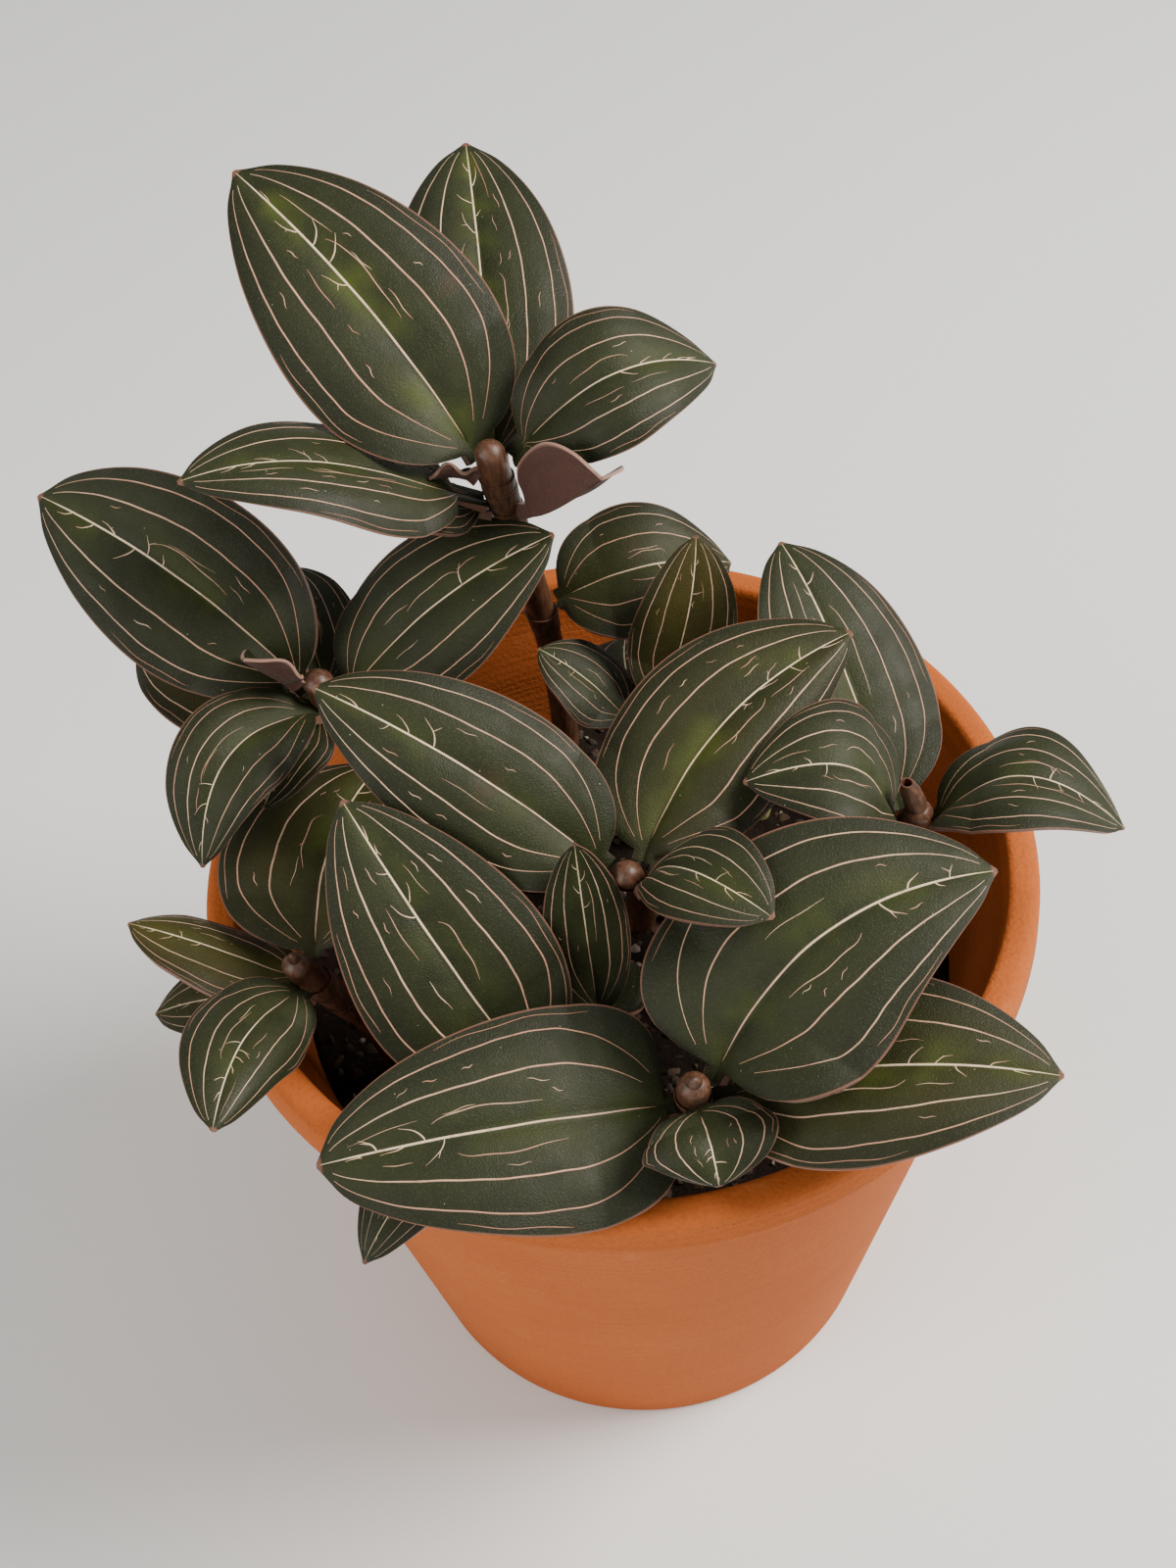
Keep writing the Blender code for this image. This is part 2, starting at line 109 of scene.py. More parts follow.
# Where the long veins run, as shares of the half width, and how deep they sit in the blade. A
# broken vein has its line, how often it shows, and its longest piece as a share of the leaf.
SIDE_VEINS = (0.47, 0.79)
MARGIN_VEIN = 0.925
BROKEN_VEINS = ((0.25, 0.50, 0.20), (0.36, 0.20, 0.07), (0.62, 0.20, 0.07))
GROOVE_DEPTH = 0.00016
GROOVE_SHARE = 0.07
VEIN_LIFT = 0.00003

# Half widths of the veins on a leaf 32 mm wide
MIDRIB_WIDTH = 0.00027
INNER_VEIN_WIDTH = 0.00016
OUTER_VEIN_WIDTH = 0.00013
MARGIN_VEIN_WIDTH = 0.00006
SMALL_VEIN_WIDTH = 0.00010
BRANCH_WIDTH = 0.00014

# Between these shares of a leaf's length run the midrib, its branches and the broken veins
MIDRIB_START = 0.035
MIDRIB_REACH = 0.955
SIDE_VEIN_END = 0.96
BRANCHES_END = 0.92
BROKEN_VEINS_END = 0.80

# The camera's place, the directions of its view and of the picture's top, and its lens
CAMERA_PLACE = (0.0, -0.2547, 0.4645)
CAMERA_FORWARD = (-0.011, 0.6285, -0.7777)
CAMERA_UP = (0.0734, 0.7761, 0.6263)
CAMERA_LENS = 54.0
CAMERA_SENSOR = 36.0
CAMERA_NEAR = 0.01

# The floor's half side, and the place and size of each round light, with the point they aim at
FLOOR_HALF_SIDE = 3.0
KEY_LIGHT_PLACE = (0.65, 0.02, 0.80)
KEY_LIGHT_SIZE = 0.50
FILL_LIGHT_PLACE = (-0.70, -0.45, 0.60)
FILL_LIGHT_SIZE = 0.70
LIGHT_AIM = (0.0, 0.0, 0.13)
STUDIO_COLOUR = (1.0, 0.985, 0.96, 1.0)
STUDIO_STRENGTH = 0.42

# Where each stem comes out of the soil, and where its crown is
Stem = namedtuple("Stem", "root crown")

STEMS = {
    "A": Stem(root=(-0.009, 0.054), crown=(-0.0167, 0.0367, 0.1942)),
    "B": Stem(root=(-0.042, 0.026), crown=(-0.050, 0.018, 0.161)),
    "C": Stem(root=(-0.043, -0.022), crown=(-0.055, -0.029, 0.143)),
    "D": Stem(root=(-0.014, -0.038), crown=(-0.014, -0.047, 0.1275)),
    "E": Stem(root=(0.009, -0.044), crown=(0.009, -0.061, 0.148)),
    "F": Stem(root=(0.0035, 0.0075), crown=(0.001, -0.0215, 0.1518)),
    "G": Stem(root=(0.005, 0.029), crown=(0.007, 0.026, 0.136)),
    "H": Stem(root=(0.042, 0.001), crown=(0.051, -0.011, 0.149)),
    "K": Stem(root=(-0.004, -0.021), crown=(-0.005, -0.0385, 0.130)),
}

# Closed buds on top of a stem: the stem, the way the bud leans, its length and its radius
BUDS = (
    ("C", (-0.2, -0.2, 1.0), 0.0030, 0.0012),
    ("E", (0.0, -0.3, 1.0), 0.0028, 0.0017),
    ("G", (0.1, -0.2, 1.0), 0.0030, 0.0012),
)

# A leaf's root sits beside its stem, "below" the crown. A straight line from root to tip has a
# heading, counted in degrees from +X towards +Y, and a rise above the horizontal. The midrib
# stands off that line by "arch" upwards and by "bend" to the right, at one and two thirds.
LEAF_DEFAULTS = {
    "roll": 0.0,
    "arch": (0.006, 0.006),
    "bend": 0.0,
    "fold": 12.0,
    "curl": (25.0, 25.0),
    "widest_at": 0.42,
    "bluntness": 0.72,
    "petiole": 0.04,
    "wave": 0.0006,
    "wave_start": 0.0,
}

LEAVES = {}


def add_leaf(name, below, heading, rise, length, width, **shape):
    """Note one leaf's design; its first letter names the stem that carries it."""
    design = dict(LEAF_DEFAULTS)
    design.update(shape)
    design.update(below=below, heading=heading, rise=rise, length=length, width=width)
    LEAVES[name] = design


add_leaf("A1", 0.005, 134, 32, 0.0635, 0.037, roll=-19, arch=(0.0085, 0.0063), bend=0.002,
         widest_at=0.37)
add_leaf("A2", 0.0085, 92, 23, 0.0625, 0.031, roll=5, arch=(0.008, 0.007))
add_leaf("A3", 0.003, 18, 11, 0.037, 0.025, roll=20, arch=(0.017, 0.018), fold=15, widest_at=0.39,
         curl=(25, 45), petiole=0.08)
add_leaf("A4", 0.0143, -163, 25.8, 0.0548, 0.027, roll=6, arch=(0.005, 0.0105), widest_at=0.36,
         curl=(60, 25), petiole=0.12)
add_leaf("A5", 0.0163, -162, 14, 0.0212, 0.014, arch=(0.003, 0.004), curl=(20, 10), petiole=0.12)
add_leaf("A6", 0.0158, -47, 46, 0.030, 0.021, roll=-48, arch=(-0.003, -0.001), fold=46,
         curl=(10, 10), widest_at=0.52, bluntness=0.58, petiole=0.15)
add_leaf("A7", 0.0078, -175, 15, 0.008, 0.004, roll=50, arch=(0.001, 0.001), curl=(-20, -20))
add_leaf("A8", 0.0522, 11, 0, 0.033, 0.027, roll=20, arch=(0.010, 0.009), widest_at=0.38)
add_leaf("B1", 0.005, 147, 24, 0.058, 0.033, roll=-25, arch=(0.009, 0.006), bend=0.003, curl=(40, 0))
add_leaf("B2", 0.007, 19, 29.5, 0.046, 0.028, roll=14, bend=-0.0015, widest_at=0.40,
         curl=(25, 40))
add_leaf("B3", 0.0005, 190, 52, 0.012, 0.012, roll=40, arch=(0, 0), curl=(-20, -20), petiole=0.08)
add_leaf("B4", 0.012, 145, -4, 0.042, 0.032, roll=-5, arch=(0.004, 0.005))
add_leaf("B5", 0.007, -128, -14, 0.033, 0.019, roll=-20, arch=(0.012, 0.012), bend=0.008)
add_leaf("B6", 0.009, -120, -4, 0.020, 0.012, arch=(0.003, 0.003))
add_leaf("B7", 0.009, 105, 14, 0.027, 0.018, arch=(0.004, 0.004))
add_leaf("C1", 0.005, 73, 8, 0.039, 0.038, arch=(0.005, 0.004), bend=-0.004, widest_at=0.40)
add_leaf("C2", 0.009, 163, 15, 0.031, 0.017, roll=5, arch=(0.001, 0.002), fold=2, curl=(10, 50))
add_leaf("C3", 0.004, -108, 20, 0.037, 0.020, roll=-5, arch=(0.004, 0.007), bend=0.003,
         curl=(90, 25), widest_at=0.40)
add_leaf("C4", 0.014, 177, -9, 0.029, 0.017, arch=(0.003, 0.004))
add_leaf("D1", 0.003, 133, 46, 0.058, 0.034, roll=-22, arch=(0.007, 0.005), bend=-0.001,
         widest_at=0.34, petiole=0.08)
add_leaf("D2", 0.003, -138, -2, 0.039, 0.017, arch=(0.008, 0.009), bend=0.003, petiole=0.08)
add_leaf("E1", 0.017, -170, 6, 0.058, 0.037, roll=-20, arch=(0.007, 0.008), widest_at=0.29,
         bluntness=0.58)
add_leaf("E2", 0.003, 26, 20, 0.055, 0.042, roll=14, arch=(0.010, 0.008), bend=-0.009,
         widest_at=0.28, bluntness=0.72)
add_leaf("E3", 0.015, -10, 16, 0.056, 0.033, roll=10, arch=(0.008, 0.008), bend=-0.002,
         widest_at=0.40)
add_leaf("E4", 0.007, -80, -12, 0.012, 0.022, arch=(0.004, 0.005), curl=(10, 50))
add_leaf("F1", 0.002, 153, 25, 0.057, 0.029, roll=-26, arch=(0.005, 0.006), bend=0.002,
         widest_at=0.37, curl=(45, 40))
add_leaf("F2", 0.004, 40, 20, 0.053, 0.033, arch=(0.006, 0.005), bend=-0.006, fold=20,
         curl=(25, 90), widest_at=0.36)
add_leaf("F3", 0.006, -48, 34, 0.034, 0.018, roll=10, arch=(0.011, 0.012), fold=14,
         widest_at=0.62, petiole=0.08)
add_leaf("G2", 0.003, 60, 58, 0.034, 0.019, roll=30, arch=(0.001, 0.003), bend=0.002)
add_leaf("G3", 0.004, 150, 34, 0.021, 0.016, arch=(0.003, 0.003))
add_leaf("G4", 0.006, 95, -3, 0.022, 0.020, arch=(0.003, 0.003), bend=-0.002)
add_leaf("H1", 0.006, 109, 23, 0.053, 0.030, roll=6, arch=(0.001, 0.007), widest_at=0.40)
add_leaf("H2", 0.004, -14, 9, 0.031, 0.026, roll=-10, arch=(0.016, 0.014), widest_at=0.40)
add_leaf("H3", 0.003, 181, 30, 0.028, 0.028, roll=-8, arch=(0.014, 0.013), bend=0.002, widest_at=0.38)
add_leaf("K1", 0.002, 98, 71, 0.035, 0.014, arch=(-0.001, -0.002))
add_leaf("K2", 0.005, 66, 12, 0.011, 0.009, arch=(0, 0.001))

YOUNG_LEAVES = ("A6", "A7", "B3", "K2")

# How golden each leaf glows along its midrib, and how much olive is painted on it as light shining through
# the leaf from behind; the others take the defaults
GLOW = {"A1": 1.0, "A2": 1.0, "E3": 0.8, "C1": 0.8, "F2": 0.7, "B1": 0.5, "D1": 0.5, "E2": 0.4}
BACKLIT_OLIVE = {"B4": 0.9, "C2": 1.0, "G2": 1.0, "C1": 0.5, "C4": 0.6, "A8": 0.2, "F2": 0.25, "E3": 0.3}
DEFAULT_GLOW = 0.3
DEFAULT_BACKLIT_OLIVE = 0.0

# Middle points and weights for adding up a curved cross-section
SECTION_POINTS = (0.0694, 0.3300, 0.6700, 0.9306)
SECTION_WEIGHTS = (0.1739, 0.3261, 0.3261, 0.1739)


# Meshes and node trees


def make_object(name, vertices, faces, materials, smooth_angle=50):
    """One piece from its points and faces, shaded smooth."""
    mesh = bpy.data.meshes.new(name)
    mesh.from_pydata([tuple(point) for point in vertices], [], faces)
    mesh.shade_smooth()
    mesh.set_sharp_from_angle(angle=math.radians(smooth_angle))
    for material in materials:
        mesh.materials.append(material)
    item = bpy.data.objects.new(name, mesh)
    bpy.context.scene.collection.objects.link(item)
    return item


def join_parts(parts):
    """Points and faces of several parts put together as one."""
    vertices = []
    faces = []
    for part_vertices, part_faces in parts:
        start = len(vertices)
        vertices += part_vertices
        faces += [tuple(start + corner for corner in face) for face in part_faces]
    return vertices, faces


def place(item, slot, *nodes):
    """Let a piece ride on the plant's one body and stand for the solids it shows."""
    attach(item, "root")
    if nodes:
        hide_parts(*nodes)


def set_values(mesh, name, values):
    """Store one number at each point of a mesh."""
    attribute = mesh.attributes.new(name, "FLOAT", "POINT")
    attribute.data.foreach_set("value", np.asarray(values, dtype=np.float32).ravel())


def add_node(tree, kind, values=None, **settings):
    """Add a node, set its properties, and set or link its inputs."""
    item = tree.nodes.new(kind)
    for key, value in settings.items():
        setattr(item, key, value)
    for key, value in (values or {}).items():
        if isinstance(value, bpy.types.NodeSocket):
            tree.links.new(value, item.inputs[key])
        else:
            item.inputs[key].default_value = value
    return item


def new_geometry_tree(name, inputs):
    """A geometry node tree with named inputs, and its input and output nodes."""
    tree = bpy.data.node_groups.new(name, "GeometryNodeTree")
    interface = tree.interface
    interface.new_socket("Geometry", in_out="INPUT", socket_type="NodeSocketGeometry")
    for label, kind in inputs:
        interface.new_socket(label, in_out="INPUT", socket_type="NodeSocket" + kind)
    interface.new_socket("Geometry", in_out="OUTPUT", socket_type="NodeSocketGeometry")
    return tree, tree.nodes.new("NodeGroupInput"), tree.nodes.new("NodeGroupOutput")


def finish_tree(tree, last, source, goal):
    """End a tree with real geometry that carries the input's material."""
    real = add_node(tree, "GeometryNodeRealizeInstances", {"Geometry": last})
    painted = add_node(tree, "GeometryNodeSetMaterial", {
        "Geometry": real.outputs["Geometry"],
        "Material": source.outputs["Material"],
    })
    tree.links.new(painted.outputs["Geometry"], goal.inputs["Geometry"])


def run_tree(item, tree, values):
    """Apply a geometry node tree to a piece and keep the mesh that it makes."""
    modifier = item.modifiers.new(tree.name, "NODES")
    modifier.node_group = tree
    for socket in tree.interface.items_tree:
        if socket.name in values:
            modifier[socket.identifier] = values[socket.name]
    depsgraph = bpy.context.evaluated_depsgraph_get()
    mesh = bpy.data.meshes.new_from_object(item.evaluated_get(depsgraph))
    item.modifiers.remove(modifier)
    item.data = mesh
    mesh.name = item.name
    if not mesh.polygons:
        raise RuntimeError(item.name + " came out with no faces")


# Shader parts


def new_shader(name):
    """A material, its tree and its surface shader."""
    material = bpy.data.materials.new(name)
    material.use_nodes = True
    tree = material.node_tree
    return material, tree, tree.nodes["Principled BSDF"]


def set_inputs(shader, **values):
    """Set plain values on a shader's own inputs."""
    for name, value in values.items():
        shader.inputs[name.replace("_", " ")].default_value = value


def mix(tree, factor, first, second):
    """Mix two colours; each may be a link or a plain colour."""
    item = tree.nodes.new("ShaderNodeMix")
    item.data_type = "RGBA"
    sockets = {0: factor, 6: first, 7: second}
    for index, value in sockets.items():
        if isinstance(value, bpy.types.NodeSocket):
            tree.links.new(value, item.inputs[index])
        elif index == 0:
            item.inputs[index].default_value = value
        else:
            item.inputs[index].default_value = (*value[:3], 1.0)
    return item.outputs[2]


def calculate(tree, operation, first, second=0.0):
    """One sum of two numbers; each may be a link or a plain number."""
    item = add_node(tree, "ShaderNodeMath", {0: first, 1: second}, operation=operation)
    return item.outputs[0]


def spread(tree, value, low, high, start=0.0, end=1.0):
    """Map a range of values smoothly to another one."""
    item = add_node(tree, "ShaderNodeMapRange", {
        "Value": value,
        "From Min": low,
        "From Max": high,
        "To Min": start,
        "To Max": end,
    }, interpolation_type="SMOOTHSTEP")
    return item.outputs["Result"]


def place_of(tree, stretch=(1, 1, 1)):
    """Position in the object's own metres, stretched along each axis."""
    source = tree.nodes.new("ShaderNodeTexCoord")
    item = add_node(tree, "ShaderNodeMapping", {"Vector": source.outputs["Object"], "Scale": stretch})
    return item.outputs["Vector"]


def cloud(tree, vector, size, detail=2.0, roughness=0.5):
    """Soft noise whose patches are about the given size in metres."""
    item = add_node(tree, "ShaderNodeTexNoise", {
        "Vector": vector,
        "Scale": 1 / size,
        "Detail": detail,
        "Roughness": roughness,
    })
    return item.outputs[0]


def dots(tree, vector, spacing, radius, share):
    """Round specks: some cells of the given spacing hold a speck of about the given radius."""
    cells = add_node(tree, "ShaderNodeTexVoronoi", {"Vector": vector, "Scale": 1 / spacing})
    inside = spread(tree, cells.outputs["Distance"], radius / spacing, radius / spacing * 0.6)
    colour = add_node(tree, "ShaderNodeSeparateColor", {"Color": cells.outputs["Color"]})
    chosen = calculate(tree, "LESS_THAN", colour.outputs[0], share)
    return calculate(tree, "MULTIPLY", inside, chosen)


def bump(tree, shader, height, distance):
    """Roughen a surface by a height pattern that is the given distance deep."""
    item = add_node(tree, "ShaderNodeBump", {"Height": height, "Distance": distance})
    tree.links.new(item.outputs["Normal"], shader.inputs["Normal"])


def attribute(tree, name):
    """A number stored at the points of the piece."""
    return add_node(tree, "ShaderNodeAttribute", attribute_name=name).outputs["Fac"]


def leaf_position(tree):
    """Share of the way along the leaf, and distance from the midrib as a share of half width."""
    source = add_node(tree, "ShaderNodeUVMap", uv_map="leaf")
    parts = add_node(tree, "ShaderNodeSeparateXYZ", {"Vector": source.outputs["UV"]})
    across = calculate(tree, "ABSOLUTE", calculate(tree, "SUBTRACT", parts.outputs["Y"], 0.5))
    return parts.outputs["X"], calculate(tree, "MULTIPLY", across, 2.0)


# Materials


def clay_material(settings, shaded_inside):
    """Unglazed clay: mottled, with dark specks, turning marks and a fine grain. The inside wall is painted
    darker and more saturated as painted shade in the pot's hollow, most of all near the soil."""
    material, tree, shader = new_shader("clay shaded inside" if shaded_inside else "clay")
    here = place_of(tree)
    colour = mix(tree, cloud(tree, here, 0.030, 3), settings.colour, settings.pale_colour)
    grain = cloud(tree, here, 0.0007, 2)
    colour = mix(tree, spread(tree, grain, 0.35, 0.75, 0.0, 0.35), colour, settings.deep_colour)
    chalk = spread(tree, cloud(tree, here, 0.011, 4, 0.65), 0.60, 0.80, 0.0, 0.30)
    colour = mix(tree, chalk, colour, settings.chalk_colour)
    rings = cloud(tree, place_of(tree, (0.02, 0.02, 1)), 0.0011, 3)
    colour = mix(tree, spread(tree, rings, 0.45, 0.75, 0.0, 0.22), colour, settings.deep_colour)
    specks = dots(tree, here, 0.0035, 0.00028, 0.45)
    colour = mix(tree, calculate(tree, "MULTIPLY", specks, 0.75), colour, settings.speck_colour)
    scratches = cloud(tree, place_of(tree, (1, 1, 9)), 0.006, 4, 0.7)
    colour = mix(tree, spread(tree, scratches, 0.70, 0.78, 0.0, 0.35), colour, settings.chalk_colour)
    # Painted shade on the inside wall: darker and more saturated towards the soil
    if shaded_inside:
        parts = add_node(tree, "ShaderNodeSeparateXYZ", {"Vector": here})
        depth = spread(tree, parts.outputs["Z"], POT_HEIGHT, SOIL_LEVEL, 0.35, 1.0)
        colour = mix(tree, depth, colour, settings.inner_shade_colour)
    tree.links.new(colour, shader.inputs["Base Color"])
    height = calculate(tree, "ADD", calculate(tree, "MULTIPLY", rings, 1.4), grain)
    bump(tree, shader, height, 0.00018)
    set_inputs(shader, Roughness=0.7 if shaded_inside else 0.82, Specular_IOR_Level=0.15)
    return material


def soil_material(settings):
    """Dark potting mix with browner fibres."""
    material, tree, shader = new_shader("soil")
    here = place_of(tree)
    colour = mix(tree, cloud(tree, here, 0.0035, 4), settings.dark_colour, settings.brown_colour)
    fibres = cloud(tree, place_of(tree, (1, 4, 1)), 0.0028, 2)
    colour = mix(tree, spread(tree, fibres, 0.64, 0.72, 0.0, 0.6), colour, settings.fibre_colour)
    tree.links.new(colour, shader.inputs["Base Color"])
    bump(tree, shader, cloud(tree, here, 0.0014, 5, 0.65), 0.0012)
    set_inputs(shader, Roughness=0.95, Specular_IOR_Level=0.2)
    return material


def grain_material(name, first, second, roughness):
    """Rough grains between two colours."""
    material, tree, shader = new_shader(name)
    here = place_of(tree)
    colour = mix(tree, spread(tree, cloud(tree, here, 0.004, 1), 0.35, 0.65), first, second)
    pits = cloud(tree, here, 0.0004, 3)
    colour = mix(tree, spread(tree, pits, 0.5, 0.7, 0.0, 0.5), colour, (0.05, 0.04, 0.03))
    tree.links.new(colour, shader.inputs["Base Color"])
    bump(tree, shader, pits, 0.0003)
    set_inputs(shader, Roughness=roughness)
    return material


def stem_material(name, colour, second, roughness=0.45):
    """Fleshy stem: streaked lengthwise, mottled, a little translucent."""
    material, tree, shader = new_shader(name)
    streaks = cloud(tree, place_of(tree, (1, 1, 0.15)), 0.0007, 2)
    blend = mix(tree, spread(tree, streaks, 0.35, 0.70), colour, second)
    mottle = cloud(tree, place_of(tree), 0.0018, 3)
    blend = mix(tree, spread(tree, mottle, 0.55, 0.75, 0.0, 0.5), blend, (0.07, 0.045, 0.02))
    tree.links.new(blend, shader.inputs["Base Color"])
    bump(tree, shader, streaks, 0.00008)
    set_inputs(shader, Roughness=roughness, Subsurface_Weight=0.15, Subsurface_Scale=0.002,
               Coat_Weight=0.1, Coat_Roughness=0.35)
    return material


def blade_material(settings):
    """Upper face of a grown leaf: velvety dark green, golden along the midrib, olive on some leaves as
    painted light shining through from behind, with crystalline cells whose light specks are partly their own
    pale colour and partly painted glints, dust, a few brown patches and a thin pinkish margin."""
    material, tree, shader = new_shader("leaf upper face")
    here = place_of(tree)
    along, across = leaf_position(tree)
    colour = mix(tree, cloud(tree, here, 0.008, 3), settings.deep_colour, settings.colour)
    # Painted light: leaves with light behind them turn olive where it shines through
    backlit_olive = calculate(tree, "MULTIPLY", attribute(tree, "backlit_olive"),
                      spread(tree, cloud(tree, here, 0.012, 2), 0.2, 0.6, 0.5, 1.0))
    colour = mix(tree, backlit_olive, colour, settings.backlit_olive_colour)
    centre = spread(tree, across, 0.0, 0.45, 1.0, 0.0)
    patches = spread(tree, cloud(tree, here, 0.010, 2), 0.35, 0.70)
    glow = calculate(tree, "MULTIPLY", calculate(tree, "MULTIPLY", centre, patches),
                     attribute(tree, "glow"))
    colour = mix(tree, glow, colour, settings.glow_colour)
    colour = mix(tree, spread(tree, across, 0.45, 1.0, 0.0, 0.75), colour, settings.deep_colour)
    # Light specks of the crystalline cells: partly their own pale colour, partly painted glints
    cells = cloud(tree, here, 0.00030, 2, 0.6)
    colour = mix(tree, spread(tree, cells, 0.52, 0.75, 0.0, 0.40), colour, settings.cell_glint_colour)
    brown = spread(tree, cloud(tree, here, 0.014, 2), 0.70, 0.78, 0.0, 0.45)
    colour = mix(tree, brown, colour, settings.brown_colour)
    colour = mix(tree, spread(tree, across, 0.976, 0.992), colour, settings.margin_colour)
    colour = mix(tree, spread(tree, along, 0.982, 0.992), colour, settings.margin_colour)
    colour = mix(tree, dots(tree, here, 0.0032, 0.00012, 0.7), colour, settings.dust_colour)
    tree.links.new(colour, shader.inputs["Base Color"])
    shine = spread(tree, cloud(tree, here, 0.005, 3), 0.3, 0.7, 0.46, 0.60)
    tree.links.new(shine, shader.inputs["Roughness"])
    ripple = calculate(tree, "MULTIPLY", cloud(tree, here, 0.0025, 2), 0.8)
    bump(tree, shader, calculate(tree, "ADD", cells, ripple), 0.00012)
    set_inputs(shader, Specular_IOR_Level=0.27, Sheen_Weight=0.03, Sheen_Roughness=0.4,
               Sheen_Tint=(0.68, 0.70, 0.52, 1.0))
    return material


def underside_material(name, colour, second, margin):
    """Burgundy face of a leaf, with fine lengthwise lines."""
    material, tree, shader = new_shader(name)
    here = place_of(tree)
    along, across = leaf_position(tree)
    blend = mix(tree, cloud(tree, here, 0.005, 3), colour, second)
    lines = add_node(tree, "ShaderNodeMath", {0: calculate(tree, "MULTIPLY", across, 60.0)},
                     operation="SINE").outputs[0]
    blend = mix(tree, spread(tree, lines, 0.4, 1.0, 0.0, 0.25), blend, second)
    blend = mix(tree, calculate(tree, "MULTIPLY", dots(tree, here, 0.0016, 0.00012, 0.5), 0.6), blend, margin)
    blend = mix(tree, spread(tree, across, 0.93, 1.0, 0.0, 0.9), blend, margin)
    tree.links.new(blend, shader.inputs["Base Color"])
    bump(tree, shader, cloud(tree, here, 0.0006, 2), 0.00012)
    set_inputs(shader, Roughness=0.5, Sheen_Weight=0.1, Sheen_Roughness=0.5,
               Subsurface_Weight=0.08, Subsurface_Scale=0.001)
    return material


def vein_material(settings):
    """Veins: from pinkish brown to cream, by the tint stored along each one."""
    material, tree, shader = new_shader("veins")
    here = place_of(tree)
    colour = mix(tree, attribute(tree, "tint"), settings.pink_colour, settings.cream_colour)
    faded = spread(tree, cloud(tree, here, 0.0022, 3), 0.50, 0.75, 0.0, 0.6)
    colour = mix(tree, faded, colour, settings.faded_colour)
    tree.links.new(colour, shader.inputs["Base Color"])
    bump(tree, shader, cloud(tree, here, 0.0005, 2), 0.00006)
    set_inputs(shader, Roughness=0.42, Specular_IOR_Level=0.5)
    return material


# Pot and soil


def outer_radius(height):
    """Outer radius of the pot's straight, tapering body."""
    share = height / (POT_HEIGHT - RIM_HEIGHT)
    return FOOT_RADIUS + (BODY_TOP_RADIUS - FOOT_RADIUS) * share


def inner_radius(height):
    """Inner radius of the pot's wall."""
    return outer_radius(height) - WALL


def rounded(corners, steps=5):
    """A profile whose corners are rounded by the radius that stands third in each one."""
    points = []
    for index, (radius, height, rounding) in enumerate(corners):
        here = Vector((radius, height))
        if not rounding:
            points.append(here)
            continue
        before = Vector(corners[index - 1][:2])
        after = Vector(corners[index + 1][:2])
        start = here + (before - here).normalized() * rounding
        end = here + (after - here).normalized() * rounding
        for step in range(steps + 1):
            share = step / steps
            first = start.lerp(here, share)
            points.append(first.lerp(here.lerp(end, share), share))
    return [(point.x, point.y) for point in points]


def turned(profile, steps):
    """Points and faces of a closed profile turned about Z. The profile starts on the axis at the
    bottom and ends on it at the top."""
    vertices = [(0.0, 0.0, profile[0][1])]
    rings = profile[1:-1]
    for radius, height in rings:
        for step in range(steps):
            angle = 2 * math.pi * step / steps
            vertices.append((radius * math.cos(angle), radius * math.sin(angle), height))
    vertices.append((0.0, 0.0, profile[-1][1]))
    last = len(vertices) - 1
    faces = []
    for step in range(steps):
        after = (step + 1) % steps
        faces.append((0, 1 + after, 1 + step))
        for ring in range(len(rings) - 1):
            low = 1 + ring * steps
            high = low + steps
            faces.append((low + step, low + after, high + after, high + step))
        top = 1 + (len(rings) - 1) * steps
        faces.append((top + step, top + after, last))
    return vertices, faces


def cut(item, cutter):
    """Cut one piece with another, and remove the cutter."""
    modifier = item.modifiers.new("cut", "BOOLEAN")
    modifier.operation = "DIFFERENCE"
    modifier.solver = "EXACT"
    modifier.object = cutter
    depsgraph = bpy.context.evaluated_depsgraph_get()
    item.data = bpy.data.meshes.new_from_object(item.evaluated_get(depsgraph))
    item.modifiers.remove(modifier)
    bpy.data.objects.remove(cutter, do_unlink=True)


def soil_height(x, y):
    """Level of the loose soil, with mounds, hollows and crumbs."""
    here = Vector((x, y, 0.0))
    mounds = math.sin(x / 0.0053 + 0.6) * math.cos(y / 0.0062) + 0.5 * math.sin((x + y) / 0.003)
    crumbs = noise.fractal(here * CRUMBS_IN_A_METRE, 0.9, 2.0, 4)
    lumps = noise.noise(here * LUMPS_IN_A_METRE)
    return SOIL_LEVEL + MOUND_HEIGHT * mounds + CRUMB_HEIGHT * crumbs + LUMP_HEIGHT * lumps


def soil_disc(edge, steps, rings):
    """Points and faces of the soil's surface out to an edge radius."""
    vertices = [(0.0, 0.0, soil_height(0.0, 0.0))]
    for ring in range(1, rings + 1):
        for step in range(steps):
            angle = 2 * math.pi * step / steps
            x = edge * ring / rings * math.cos(angle)
            y = edge * ring / rings * math.sin(angle)
            vertices.append((x, y, soil_height(x, y)))
    faces = []
    for step in range(steps):
        after = (step + 1) % steps
        faces.append((0, 1 + step, 1 + after))
        for ring in range(rings - 1):
            low = 1 + ring * steps
            high = low + steps
            faces.append((low + step, high + step, high + after, low + after))
    return vertices, faces


